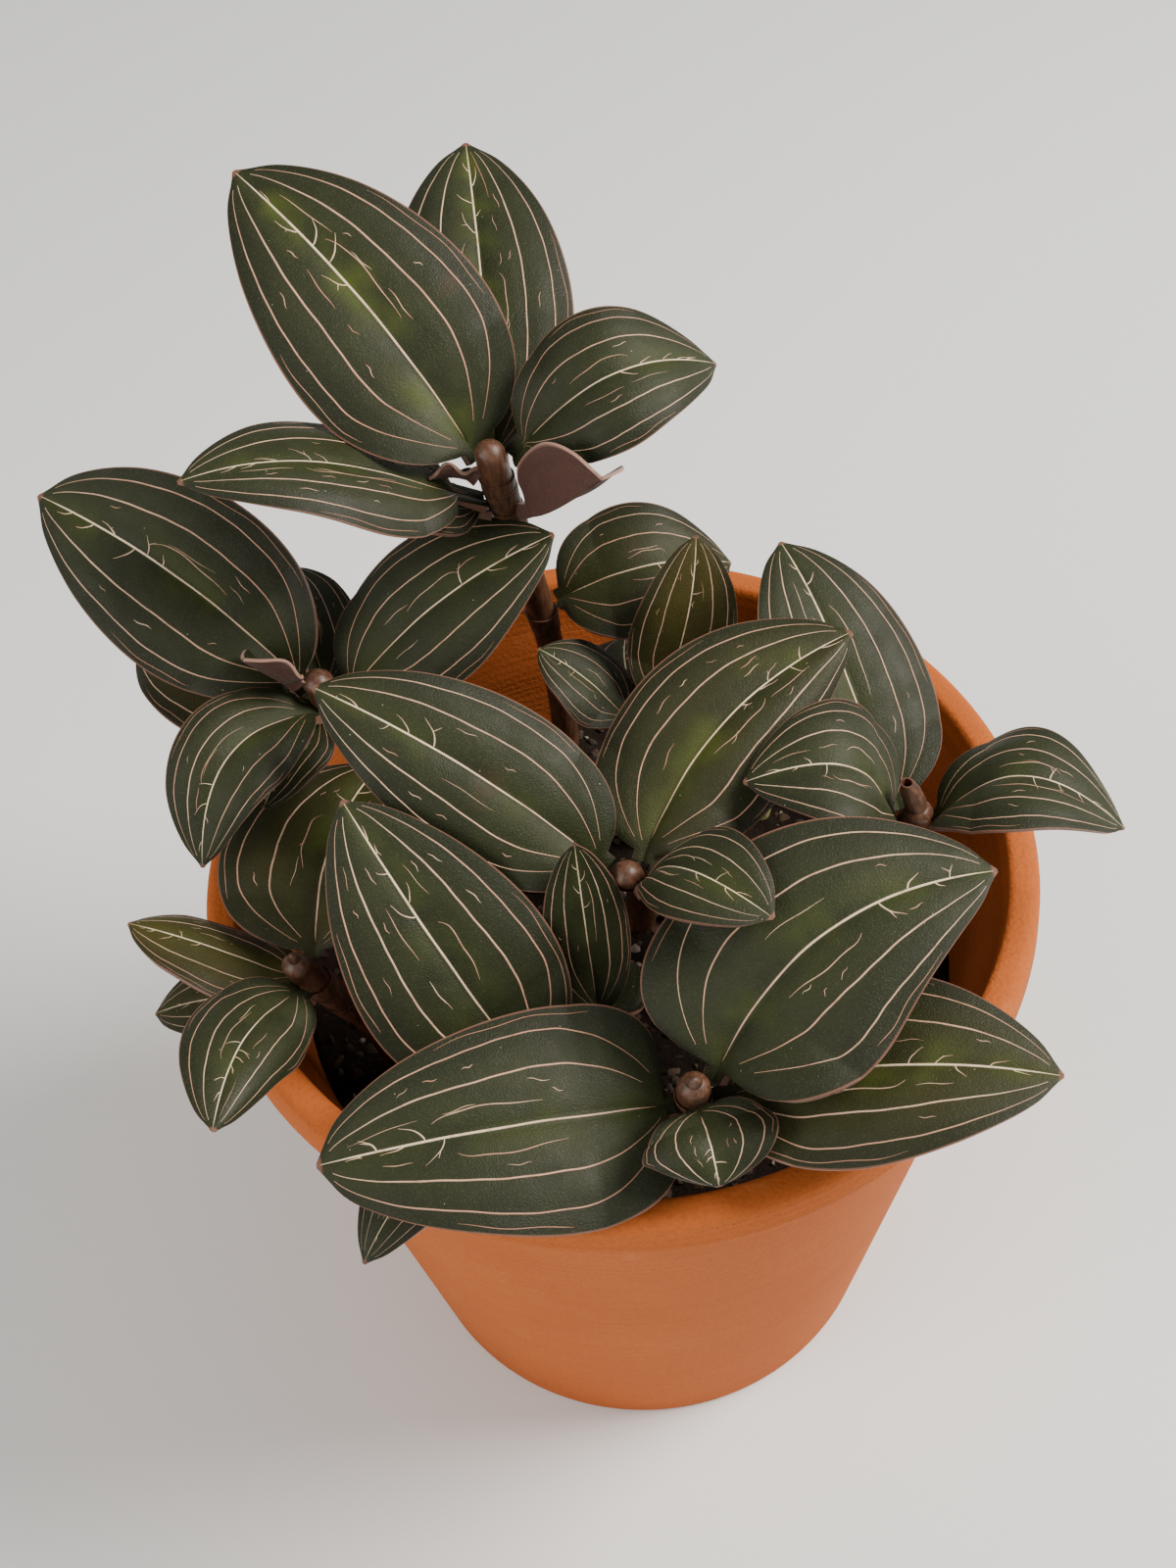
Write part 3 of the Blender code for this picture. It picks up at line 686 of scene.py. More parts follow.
def grain_tree():
    """Scatters rough grains over a surface. Only the grains are kept."""
    tree, source, goal = new_geometry_tree("grains", (
        ("Density", "Float"),
        ("Smallest", "Float"),
        ("Largest", "Float"),
        ("Seed", "Int"),
        ("Material", "Material"),
    ))
    points = add_node(tree, "GeometryNodeDistributePointsOnFaces", {
        "Mesh": source.outputs["Geometry"],
        "Density": source.outputs["Density"],
        "Seed": source.outputs["Seed"],
    }, distribute_method="RANDOM")
    ball = add_node(tree, "GeometryNodeMeshIcoSphere", {"Radius": 1.0, "Subdivisions": 2})
    size = add_node(tree, "FunctionNodeRandomValue", {
        2: source.outputs["Smallest"],
        3: source.outputs["Largest"],
        "Seed": source.outputs["Seed"],
    }, data_type="FLOAT")
    flatness = add_node(tree, "FunctionNodeRandomValue", {
        0: (0.6, 0.6, 0.45),
        1: (1.3, 1.0, 0.9),
        "Seed": 3,
    }, data_type="FLOAT_VECTOR")
    scale = add_node(tree, "ShaderNodeVectorMath", {
        0: flatness.outputs[0],
        "Scale": size.outputs[1],
    }, operation="SCALE")
    turn = add_node(tree, "FunctionNodeRandomValue", {1: (6.28, 6.28, 6.28), "Seed": 5},
                    data_type="FLOAT_VECTOR")
    placed = add_node(tree, "GeometryNodeInstanceOnPoints", {
        "Points": points.outputs["Points"],
        "Instance": ball.outputs["Mesh"],
        "Rotation": turn.outputs[0],
        "Scale": scale.outputs[0],
    })
    real = add_node(tree, "GeometryNodeRealizeInstances", {"Geometry": placed.outputs["Instances"]})
    rough = add_node(tree, "ShaderNodeTexNoise", {"Scale": 900.0, "Detail": 1.0})
    centred = add_node(tree, "ShaderNodeVectorMath", {0: rough.outputs["Color"], 1: (0.5, 0.5, 0.5)},
                       operation="SUBTRACT")
    push = add_node(tree, "ShaderNodeVectorMath", {
        0: centred.outputs[0],
        "Scale": source.outputs["Largest"],
    }, operation="SCALE")
    moved = add_node(tree, "GeometryNodeSetPosition", {
        "Geometry": real.outputs["Geometry"],
        "Offset": push.outputs[0],
    })
    smooth = add_node(tree, "GeometryNodeSetShadeSmooth", {"Geometry": moved.outputs["Geometry"]})
    finish_tree(tree, smooth.outputs["Geometry"], source, goal)
    return tree


# Stems


def bezier(points, share):
    """Point on a cubic curve through four control points."""
    a, b, c, d = points
    rest = 1 - share
    return a * rest**3 + b * (3 * rest**2 * share) + c * (3 * rest * share**2) + d * share**3


def stem_curve(stem):
    """Control points of a stem above the soil: it leaves the soil upright and then leans."""
    low = Vector((*stem.root, SOIL_LEVEL + STEM_STRAIGHT))
    high = Vector(stem.crown)
    rise = high.z - low.z
    return low, low + Vector((0, 0, rise * 0.4)), high - (high - low) * 0.3, high


def stem_point(stem, below):
    """Point on the stem's middle line that lies a given length below its crown."""
    curve = stem_curve(stem)
    length = 0.0
    last = curve[3]
    for step in range(1, 101):
        point = bezier(curve, 1 - step / 100)
        length += (point - last).length
        last = point
        if length >= below:
            return point
    return last


def tube(centres, radii, sides):
    """Points and faces of a closed round tube of level rings."""
    vertices = []
    for centre, radius in zip(centres, radii):
        for side in range(sides):
            angle = 2 * math.pi * side / sides
            spoke = Vector((math.cos(angle), math.sin(angle), 0.0))
            vertices.append(centre + spoke * radius)
    faces = [tuple(reversed(range(sides)))]
    for ring in range(len(centres) - 1):
        low = ring * sides
        for side in range(sides):
            after = (side + 1) % sides
            faces.append((low + side, low + after, low + sides + after, low + sides + side))
    top = (len(centres) - 1) * sides
    faces.append(tuple(top + side for side in range(sides)))
    return vertices, faces


def leaf_levels(letter):
    """How far below the crown each leaf of a stem starts."""
    return [design["below"] for name, design in LEAVES.items() if name[0] == letter]


def stem_shape(letter, stem):
    """A stem that swells a little at each of its nodes."""
    curve = stem_curve(stem)
    centres = [curve[0] - Vector((0, 0, STEM_DEPTH))]
    radii = [STEM_RADIUS]
    levels = leaf_levels(letter)
    length = (curve[3] - curve[0]).length
    for ring in range(STEM_RINGS + 1):
        share = ring / STEM_RINGS
        centres.append(bezier(curve, share))
        below = length * (1 - share)
        swelling = sum(math.exp(-(((below - level) / 0.0012) ** 2)) for level in levels)
        radii.append(STEM_RADIUS * (0.96 + 0.07 * min(1.0, swelling)))
    for lift, radius in STEM_TIP:
        centres.append(curve[3] + Vector((0, 0, lift)))
        radii.append(radius)
    return tube(centres, radii, STEM_SIDES)


def sleeve_shape(stem, below, length):
    """The loose sleeve round the stem below a leaf: tight at the bottom and open at the top."""
    steps = (
        (length, -0.0002),
        (length * 0.95, 0.00010),
        (length * 0.5, 0.00025),
        (length * 0.1, 0.00040),
        (0.0, 0.00045),
        (-0.0001, 0.00030),
        (length * 0.08, 0.00005),
        (length * 0.12, -0.0003),
    )
    centres = [stem_point(stem, below + step) for step, extra in steps]
    radii = [STEM_RADIUS + extra for step, extra in steps]
    return tube(centres, radii, STEM_SIDES)


def bud_shape(base, direction, length, radius):
    """A closed pointed bud, or a round one when it is short."""
    rings = 12
    centres = [base + direction * (length * ring / rings) for ring in range(rings + 1)]
    radii = []
    for ring in range(rings + 1):
        share = ring / rings
        outline = math.sqrt(max(0.0, 1 - share**2)) * (0.75 + 0.6 * share * (1 - share))
        radii.append(max(BUD_TIP_RADIUS, radius * outline))
    return tube(centres, radii, 16)


def funnel_shape(base, direction, length, radius):
    """A rolled young leaf that stands open as a thin-walled funnel."""
    steps = ((0.0, 0.80), (0.3, 0.95), (0.7, 0.85), (1.0, 0.55))
    centres = [base + direction * (length * share) for share, width in steps]
    radii = [radius * width for share, width in steps]
    centres += [base + direction * (length * share) for share, width in reversed(steps)]
    radii += [radius * width - ROLLED_LEAF_WALL for share, width in reversed(steps)]
    return tube(centres, radii, 20)


# Leaves


def leaf_axes(design):
    """Forward, up and right directions of the line from a leaf's root to its tip."""
    heading = math.radians(design["heading"])
    rise = math.radians(design["rise"])
    roll = math.radians(design["roll"])
    level = Vector((math.cos(heading), math.sin(heading), 0.0))
    forward = level * math.cos(rise) + Vector((0, 0, math.sin(rise)))
    up = Vector((0, 0, math.cos(rise))) - level * math.sin(rise)
    right = forward.cross(up)
    return (
        forward,
        up * math.cos(roll) + right * math.sin(roll),
        right * math.cos(roll) - up * math.sin(roll),
    )


def leaf_root(name, design):
    """Where a leaf starts, just off the side of its stem."""
    heading = math.radians(design["heading"])
    side = Vector((math.cos(heading), math.sin(heading), 0.0))
    forward, up, right = leaf_axes(design)
    start = forward * (design["length"] / 3) + up * design["arch"][0] + right * design["bend"]
    steepness = max(0.0, start.normalized().z)
    seat = CLEARANCE + STALK_DEPTH * steepness
    return stem_point(STEMS[name[0]], design["below"]) + side * (STEM_RADIUS + seat)


def half_width(design, along):
    """Half of the blade's width at a share of the way from root to tip."""
    petiole = design["petiole"]
    near_tip = design["bluntness"]
    near_root = near_tip * design["widest_at"] / (1 - design["widest_at"])
    share = np.clip((along - petiole) / (1 - petiole), 0.0, 1.0)
    outline = (share / design["widest_at"]) ** near_root
    outline = outline * ((1 - share) / (1 - design["widest_at"])) ** near_tip
    outline = outline * (1 - TIP_POINT * np.exp(-(((1 - along) / 0.035) ** 2)))
    stalk = PETIOLE_HALF_WIDTH * np.clip((1 - along) / STALK_SHARE, 0.0, 1.0)
    return np.sqrt((0.5 * design["width"] * outline) ** 2 + stalk**2 + BLADE_TIP_HALF_WIDTH**2)


def leaf_surface(name, design, along, across):
    """Middle surface of a leaf: along runs from 0 at the root to 1 at the tip, and across from
    -1 at the left margin to 1 at the right one."""
    root = np.array(leaf_root(name, design))
    forward, up, right = (np.array(axis) for axis in leaf_axes(design))
    length = design["length"]
    low_arch, high_arch = design["arch"]
    controls = (
        root,
        root + forward * length / 3 + up * low_arch + right * design["bend"],
        root + forward * length * 2 / 3 + up * high_arch + right * design["bend"],
        root + forward * length,
    )
    share = along[..., None]
    midrib = bezier(controls, share)
    first, second, third = (b - a for a, b in zip(controls, controls[1:]))
    tangent = first * (1 - share) ** 2 + second * 2 * share * (1 - share) + third * share**2
    tangent = tangent / np.linalg.norm(tangent, axis=-1, keepdims=True)
    sideways = right - (tangent @ right)[..., None] * tangent
    sideways = sideways / np.linalg.norm(sideways, axis=-1, keepdims=True)
    normal = np.cross(sideways, tangent)

    half = half_width(design, along)
    out = np.abs(across)
    left_curl, right_curl = design["curl"]
    curl = np.where(across < 0, left_curl, right_curl)
    fold = design["fold"] + STALK_FOLD * np.clip(1 - along / STALK_SHARE, 0.0, 1.0)
    level = np.zeros_like(half * out)
    lift = np.zeros_like(level)
    for point, weight in zip(SECTION_POINTS, SECTION_WEIGHTS):
        slope = np.radians(fold - curl * out * point)
        level = level + weight * np.cos(slope)
        lift = lift + weight * np.sin(slope)
    level = level * out * half * np.sign(across)
    turns = 2 * math.pi * (MARGIN_WAVES * along + design["wave_start"] + np.where(across < 0, 0.25, 0.0))
    ripple = design["wave"] * (2 * half / design["width"]) * out**3 * np.sin(turns)
    lift = lift * out * half + ripple
    return midrib + sideways * level[..., None] + normal * lift[..., None]


def leaf_normals(name, design, along, across):
    """Directions straight out of a leaf's upper face."""
    nudge = 0.001
    inside_along = np.clip(along, nudge, 1 - nudge)
    inside_across = np.clip(across, nudge - 1, 1 - nudge)
    lengthwise = (leaf_surface(name, design, inside_along + nudge, across)
                  - leaf_surface(name, design, inside_along - nudge, across))
    crosswise = (leaf_surface(name, design, along, inside_across + nudge)
                 - leaf_surface(name, design, along, inside_across - nudge))
    normal = np.cross(crosswise, lengthwise)
    return normal / np.linalg.norm(normal, axis=-1, keepdims=True)


def vein_share(line, along):
    """Where a long vein runs: it starts near the midrib and fans out to its own line."""
    opening = np.clip((along - 0.04) / 0.28, 0.0, 1.0)
    closing = np.clip((along - 0.80) / 0.20, 0.0, 1.0)
    return line * (0.45 + 0.55 * opening * (2 - opening)) * (1 - 0.12 * closing**2)


def leaf_thickness(along):
    """Thickness of a leaf: thick at the stalk and thin over the blade."""
    extra = PETIOLE_THICKNESS - BLADE_THICKNESS
    return BLADE_THICKNESS + extra * np.clip(1 - along / THICK_SHARE, 0.0, 1.0)


def leaf_relief(design, along, across):
    """How far the upper face swells between the veins and sinks along them."""
    out = np.abs(across)
    sink = 1.6 * np.exp(-((out / GROOVE_SHARE) ** 2))
    for line in SIDE_VEINS:
        sink = sink + np.exp(-(((out - vein_share(line, along)) / GROOVE_SHARE) ** 2))
    size = np.clip(2 * half_width(design, along) / 0.034, 0.0, 1.0)
    return -GROOVE_DEPTH * sink * size


def blade_grid():
    """Shares along and across a leaf at the corners of its faces."""
    return np.meshgrid(np.linspace(0, 1, LEAF_STATIONS), np.linspace(-1, 1, LEAF_STRIPS + 1), indexing="ij")


def upper_face(name, design):
    """Corners of the faces of a leaf's upper side, and the directions out of it."""
    along, across = blade_grid()
    normal = leaf_normals(name, design, along, across)
    height = leaf_thickness(along) / 2 + leaf_relief(design, along, across)
    return leaf_surface(name, design, along, across) + normal * height[..., None], normal


def between(corners, along, across):
    """Values between the corners of a leaf's faces."""
    row = np.clip(along, 0.0, 1.0) * (LEAF_STATIONS - 1)
    column = (np.clip(across, -1.0, 1.0) + 1) / 2 * LEAF_STRIPS
    low_row = np.minimum(row.astype(int), LEAF_STATIONS - 2)
    low_column = np.minimum(column.astype(int), LEAF_STRIPS - 1)
    down = (row - low_row)[:, None]
    over = (column - low_column)[:, None]
    near = corners[low_row, low_column] * (1 - over) + corners[low_row, low_column + 1] * over
    far = corners[low_row + 1, low_column] * (1 - over) + corners[low_row + 1, low_column + 1] * over
    return near * (1 - down) + far * down


def make_leaf(name, design, materials):
    """A thin closed blade with its upper face, underside and margin."""
    stations = LEAF_STATIONS
    strips = LEAF_STRIPS
    along, across = blade_grid()
    top, normal = upper_face(name, design)
    lower = leaf_thickness(along) / 2 - leaf_relief(design, along, across)
    bottom = leaf_surface(name, design, along, across) - normal * lower[..., None]
    top = top.reshape(-1, 3)
    bottom = bottom.reshape(-1, 3)
    count = len(top)

    def index(station, strip):
        return station * (strips + 1) + strip

    upper = []
    under = []
    for station in range(stations - 1):
        for strip in range(strips):
            a = index(station, strip)
            b = index(station, strip + 1)
            c = index(station + 1, strip + 1)
            d = index(station + 1, strip)
            upper.append((a, b, c, d))
            under.append((count + a, count + d, count + c, count + b))
    margin = [index(0, strip) for strip in range(strips)]
    margin += [index(station, strips) for station in range(stations - 1)]
    margin += [index(stations - 1, strip) for strip in range(strips, 0, -1)]
    margin += [index(station, 0) for station in range(stations - 1, 0, -1)]
    side = [(b, a, count + a, count + b) for a, b in zip(margin, margin[1:] + margin[:1])]

    vertices = np.vstack([top, bottom]).tolist()
    item = make_object("blade_" + name, vertices, upper + under + side, materials, 80)
    mesh = item.data
    for face in mesh.polygons[len(upper):]:
        face.material_index = 1
    layer = mesh.uv_layers.new(name="leaf")
    u = np.concatenate([along.ravel(), along.ravel()])
    v = np.concatenate([across.ravel(), across.ravel()]) / 2 + 0.5
    corners = np.empty(len(mesh.loops), dtype=np.int32)
    mesh.loops.foreach_get("vertex_index", corners)
    layer.data.foreach_set("uv", np.stack([u[corners], v[corners]], axis=-1).astype(np.float32).ravel())
    set_values(mesh, "glow", np.full(2 * count, GLOW.get(name, DEFAULT_GLOW)))
    set_values(mesh, "backlit_olive", np.full(2 * count, BACKLIT_OLIVE.get(name, DEFAULT_BACKLIT_OLIVE)))
    return item


# Veins


class VeinLines:
    """The middle lines of the veins of one shoot, with a direction, a width and a tint."""

    def __init__(self):
        self.face = None
        self.points = []
        self.normals = []
        self.widths = []
        self.tints = []
        self.edges = []

    def start_leaf(self, name, design):
        """Take the upper face that the next veins lie on."""
        self.face = upper_face(name, design)

    def add(self, along, across, width, tint):
        """Add one vein that follows the leaf's upper face."""
        along = np.asarray(along)
        corners, directions = self.face
        normals = between(directions, along, across)
        points = between(corners, along, across) + normals * VEIN_LIFT
        start = len(self.points)
        self.points += points.tolist()
        self.normals += normals.tolist()
        self.widths += np.broadcast_to(width, along.shape).tolist()
        self.tints += np.broadcast_to(tint, along.shape).tolist()
        self.edges += [(start + step, start + step + 1) for step in range(len(along) - 1)]

    def make_object(self, name):
        """The lines as one wire piece that carries its widths, tints and directions."""
        mesh = bpy.data.meshes.new(name)
        mesh.from_pydata(self.points, self.edges, [])
        set_values(mesh, "vein_width", self.widths)
        set_values(mesh, "tint", self.tints)
        direction = mesh.attributes.new("vein_normal", "FLOAT_VECTOR", "POINT")
        direction.data.foreach_set("vector", np.asarray(self.normals, dtype=np.float32).ravel())
        item = bpy.data.objects.new(name, mesh)
        bpy.context.scene.collection.objects.link(item)
        return item


def taper(share, start=0.12, end=0.25):
    """One along most of a line, and down to a thin end at each side."""
    return 0.25 + 0.75 * np.clip(share / start, 0.0, 1.0) * np.clip((1 - share) / end, 0.0, 1.0)


def add_long_veins(lines, draw, scale):
    """The midrib and the long veins on both sides of it."""
    share = np.linspace(0.0, 1.0, 68)
    along = MIDRIB_START + MIDRIB_REACH * share
    wobble = 0.006 * np.sin(along * 23 + draw.uniform(0, 6)) * (1 - along)
    width = scale * MIDRIB_WIDTH * (0.55 + 0.45 * np.sin(math.pi * share**1.6)) * taper(share, 0.1, 0.1)
    lines.add(along, wobble, width, np.clip(0.2 + 1.3 * share, 0.0, 1.0))
    for side in (-1, 1):
        for line in SIDE_VEINS:
            start = draw.uniform(0.05, 0.09)
            along = start + (SIDE_VEIN_END - start) * share
            wobble = 0.008 * np.sin(along * draw.uniform(12, 20) + draw.uniform(0, 6))
            wobble = wobble + 0.002 * np.sin(along * draw.uniform(50, 70) + draw.uniform(0, 6))
            across = side * (vein_share(line, along) + wobble)
            thickness = INNER_VEIN_WIDTH if line < 0.6 else OUTER_VEIN_WIDTH
            tint = draw.uniform(0.0, 0.3) + (0.45 if line < 0.6 else 0.2) * share
            lines.add(along, across, scale * thickness * taper(share, 0.25, 0.25), tint)
        start = draw.uniform(0.14, 0.40)
        along = start + draw.uniform(0.25, 0.45) * share
        across = side * (MARGIN_VEIN - 0.01 * np.sin(along * 30 + draw.uniform(0, 6)))
        lines.add(along, across, scale * MARGIN_VEIN_WIDTH * taper(share), 0.0)


def add_inner_vein(lines, draw, side, scale):
    """A thin vein beside the midrib, that ends in a small hook."""
    share = np.linspace(0.0, 1.0, 24)
    start = draw.uniform(0.26, 0.42)
    along = start + draw.uniform(0.20, 0.36) * share
    away = draw.uniform(0.20, 0.28)
    across = away * (0.75 + 0.25 * np.sin(share * 2.2)) + 0.008 * np.sin(share * 11 + draw.uniform(0, 6))
    across = across - 0.05 * np.clip((share - 0.85) / 0.15, 0.0, 1.0) ** 2
    width = scale * SMALL_VEIN_WIDTH * taper(share, 0.3, 0.2)
    lines.add(along, side * across, width, draw.uniform(0.1, 0.5))


def add_broken_veins(lines, draw, scale):
    """Short, broken veins that run between the long ones."""
    for side in (-1, 1):
        for line, chance, longest in BROKEN_VEINS:
            here = draw.uniform(0.24, 0.40)
            while here < BROKEN_VEINS_END:
                length = draw.uniform(0.02, longest)
                if draw.random() < chance * scale:
                    share = np.linspace(0.0, 1.0, 12)
                    along = here + length * share
                    drift = draw.uniform(-0.05, 0.05)
                    wave = 0.008 * np.sin(share * 7 + draw.uniform(0, 6))
                    across = side * (vein_share(line, along) + drift * (share - 0.5) + wave)
                    width = scale * SMALL_VEIN_WIDTH * draw.uniform(0.45, 0.9) * taper(share, 0.3, 0.3)
                    lines.add(along, across, width, draw.uniform(0.0, 0.7))
                here += length + draw.uniform(0.02, 0.08)


def add_branch(lines, draw, start, side, scale):
    """A short branch that leaves the midrib steeply and bends towards the tip, at times forked."""
    share = np.linspace(0.0, 1.0, 10)
    reach = draw.uniform(0.08, 0.30) * (1.4 - 0.6 * start)
    forward = draw.uniform(0.015, 0.07)
    along = np.minimum(start + forward * share**1.7, 0.975)
    across = side * (reach * share**0.85 + 0.008 * np.sin(share * 9 + draw.uniform(0, 6)) * share)
    width = scale * BRANCH_WIDTH * draw.uniform(0.6, 1.0) * taper(share, 0.05, 0.6)
    lines.add(along, across, width, 0.9 - 0.5 * share)
    if draw.random() < 0.45:
        fork = draw.choice((4, 5))
        short = np.linspace(0.0, 1.0, 6)
        fork_along = np.minimum(along[fork] + draw.uniform(-0.02, 0.03) * short, 0.975)
        fork_across = across[fork] + side * reach * draw.uniform(0.2, 0.4) * short
        lines.add(fork_along, fork_across, width[fork] * (1 - 0.7 * short), 0.5)


def add_branches(lines, draw, scale):
    """Branches off the midrib, closer together towards the tip."""
    here = draw.uniform(0.54, 0.68)
    side = draw.choice((-1, 1))
    while here < BRANCHES_END:
        add_branch(lines, draw, here, side, scale)
        side = -side if draw.random() < 0.75 else side
        here += draw.uniform(0.04, 0.11)
    for side in (-1, 1):
        if draw.random() < 0.55 * scale:
            add_inner_vein(lines, draw, side, scale)


def vein_tree():
    """Turns the veins' middle lines into low rounded ridges."""
    tree, source, goal = new_geometry_tree("veins", (("Flatness", "Float"), ("Material", "Material")))
    curve = add_node(tree, "GeometryNodeMeshToCurve", {"Mesh": source.outputs["Geometry"]})
    direction = add_node(tree, "GeometryNodeInputNamedAttribute", {"Name": "vein_normal"},
                         data_type="FLOAT_VECTOR")
    turned_curve = add_node(tree, "GeometryNodeSetCurveNormal", {
        "Curve": curve.outputs["Curve"],
        "Normal": direction.outputs["Attribute"],
    }, mode="FREE")
    circle = add_node(tree, "GeometryNodeCurvePrimitiveCircle", {"Resolution": 4, "Radius": 1.0})
    shape = add_node(tree, "ShaderNodeCombineXYZ", {"X": source.outputs["Flatness"], "Y": 1.0, "Z": 1.0})
    profile = add_node(tree, "GeometryNodeTransform", {
        "Geometry": circle.outputs["Curve"],
        "Scale": shape.outputs["Vector"],
    })
    width = add_node(tree, "GeometryNodeInputNamedAttribute", {"Name": "vein_width"}, data_type="FLOAT")
    ridges = add_node(tree, "GeometryNodeCurveToMesh", {
        "Curve": turned_curve.outputs["Curve"],
        "Profile Curve": profile.outputs["Geometry"],
        "Scale": width.outputs["Attribute"],
        "Fill Caps": True,
    })
    smooth = add_node(tree, "GeometryNodeSetShadeSmooth", {"Geometry": ridges.outputs["Mesh"]})
    finish_tree(tree, smooth.outputs["Geometry"], source, goal)
    return tree


# Settings


def colour_property(name, description, default):
    """A colour that a user may change, as linear RGB."""
    return bpy.props.FloatVectorProperty(
        name=name, description=description, subtype="COLOR", size=3, min=0.0, max=1.0, default=default)


def length_property(name, description, default):
    """A length that a user may change, in metres."""
    return bpy.props.FloatProperty(
        name=name, description=description, default=default, min=0.0, precision=5,
        subtype="DISTANCE", unit="LENGTH")


class OrchidPot(bpy.types.PropertyGroup):
    colour: colour_property("Clay", "Main colour of the fired clay", (0.46, 0.108, 0.020))
    pale_colour: colour_property("Pale clay", "Lighter patches of the clay", (0.54, 0.145, 0.034))
    deep_colour: colour_property("Deep clay", "Colour in the grain and turning marks", (0.34, 0.072, 0.013))
    # Colour of the painted shade on the inside wall
    inner_shade_colour: colour_property("Shaded inner clay", "Inside wall, painted shade deepest near the soil", (0.27, 0.070, 0.018))
    chalk_colour: colour_property("Chalk", "Pale bloom and scratches", (0.62, 0.24, 0.095))
    speck_colour: colour_property("Specks", "Dark specks in the clay", (0.13, 0.05, 0.03))


class OrchidSoil(bpy.types.PropertyGroup):
    dark_colour: colour_property("Soil", "Main colour of the potting mix", (0.008, 0.006, 0.0045))
    brown_colour: colour_property("Brown soil", "Browner parts of the mix", (0.024, 0.014, 0.009))
    fibre_colour: colour_property("Fibres", "Bits of bark and fibre", (0.09, 0.052, 0.028))
    pale_grain: length_property("Pale grain", "Radius of the largest pale grains", 0.0012)
    dark_grain: length_property("Dark grain", "Radius of the largest dark crumbs", 0.0016)
    pale_density: bpy.props.FloatProperty(
        name="Pale grains", description="Pale grains on each square metre", default=26000.0, min=0.0)
    dark_density: bpy.props.FloatProperty(
        name="Dark crumbs", description="Dark crumbs on each square metre", default=60000.0, min=0.0)


class OrchidStems(bpy.types.PropertyGroup):
    colour: colour_property("Stem", "Main colour of the stems", (0.068, 0.027, 0.013))
    second_colour: colour_property("Stem streaks", "Paler streaks in the stems", (0.125, 0.055, 0.028))
    # Own dark red-brown of the sleeves and buds, darkened further by painted shade
    sleeve_and_shade_colour: colour_property("Sleeves", "Sleeves round the stems, darkened by painted shade", (0.052, 0.022, 0.011))
    shoot_colour: colour_property("New shoot", "Pale shoot that comes out of the soil", (0.52, 0.55, 0.22))
    sleeve_length: length_property("Sleeve length", "Length of a sleeve on a stem", 0.007)


class OrchidLeaves(bpy.types.PropertyGroup):
    colour: colour_property("Leaf", "Lighter green of the upper face", (0.028, 0.0345, 0.0098))
    deep_colour: colour_property("Deep leaf", "Darker green of the upper face", (0.0105, 0.0132, 0.005))
    glow_colour: colour_property("Glow", "Golden green along the midrib", (0.060, 0.079, 0.0075))
    # Olive painted for light shining through a leaf from behind
    backlit_olive_colour: colour_property("Backlit olive leaf", "Leaves with light behind them", (0.046, 0.038, 0.005))
    # Colour of the cell specks, partly painted glints
    cell_glint_colour: colour_property("Sparkle", "Pale specks of the crystalline cells, partly painted glints", (0.075, 0.078, 0.035))
    brown_colour: colour_property("Brown patches", "Few worn patches", (0.045, 0.026, 0.012))
    margin_colour: colour_property("Margin", "Thin line round the blade", (0.17, 0.080, 0.052))
    dust_colour: colour_property("Dust", "Specks of dust", (0.36, 0.35, 0.27))
    under_colour: colour_property("Underside", "Burgundy of the underside", (0.085, 0.026, 0.022))
    young_colour: colour_property("Young leaf", "Burgundy of the young leaves", (0.098, 0.036, 0.026))


class OrchidVeins(bpy.types.PropertyGroup):
    cream_colour: colour_property("Cream", "Brightest veins", (0.88, 0.72, 0.50))
    pink_colour: colour_property("Pink", "Pinkish veins near root and margin", (0.55, 0.27, 0.18))
    faded_colour: colour_property("Faded", "Faint stretches of a vein", (0.36, 0.20, 0.12))
    flatness: bpy.props.FloatProperty(
        name="Flatness", description="Height of a vein's ridge over its half width", default=0.35,
        min=0.05, max=1.0)


class OrchidStage(bpy.types.PropertyGroup):
    floor_colour: colour_property("Floor", "Plain pale floor", (0.87, 0.90, 0.905))
    light_colour: colour_property("Light", "Colour of the lights", (1.0, 0.94, 0.86))
    lens: bpy.props.FloatProperty(
        name="Lens", description="Focal length of the camera", default=CAMERA_LENS, unit="CAMERA")
    key_power: bpy.props.FloatProperty(
        name="Key light", description="Power of the main soft light", default=15.0, unit="POWER")
    fill_power: bpy.props.FloatProperty(
        name="Fill light", description="Power of the weaker light", default=5.0, unit="POWER")


# Operators


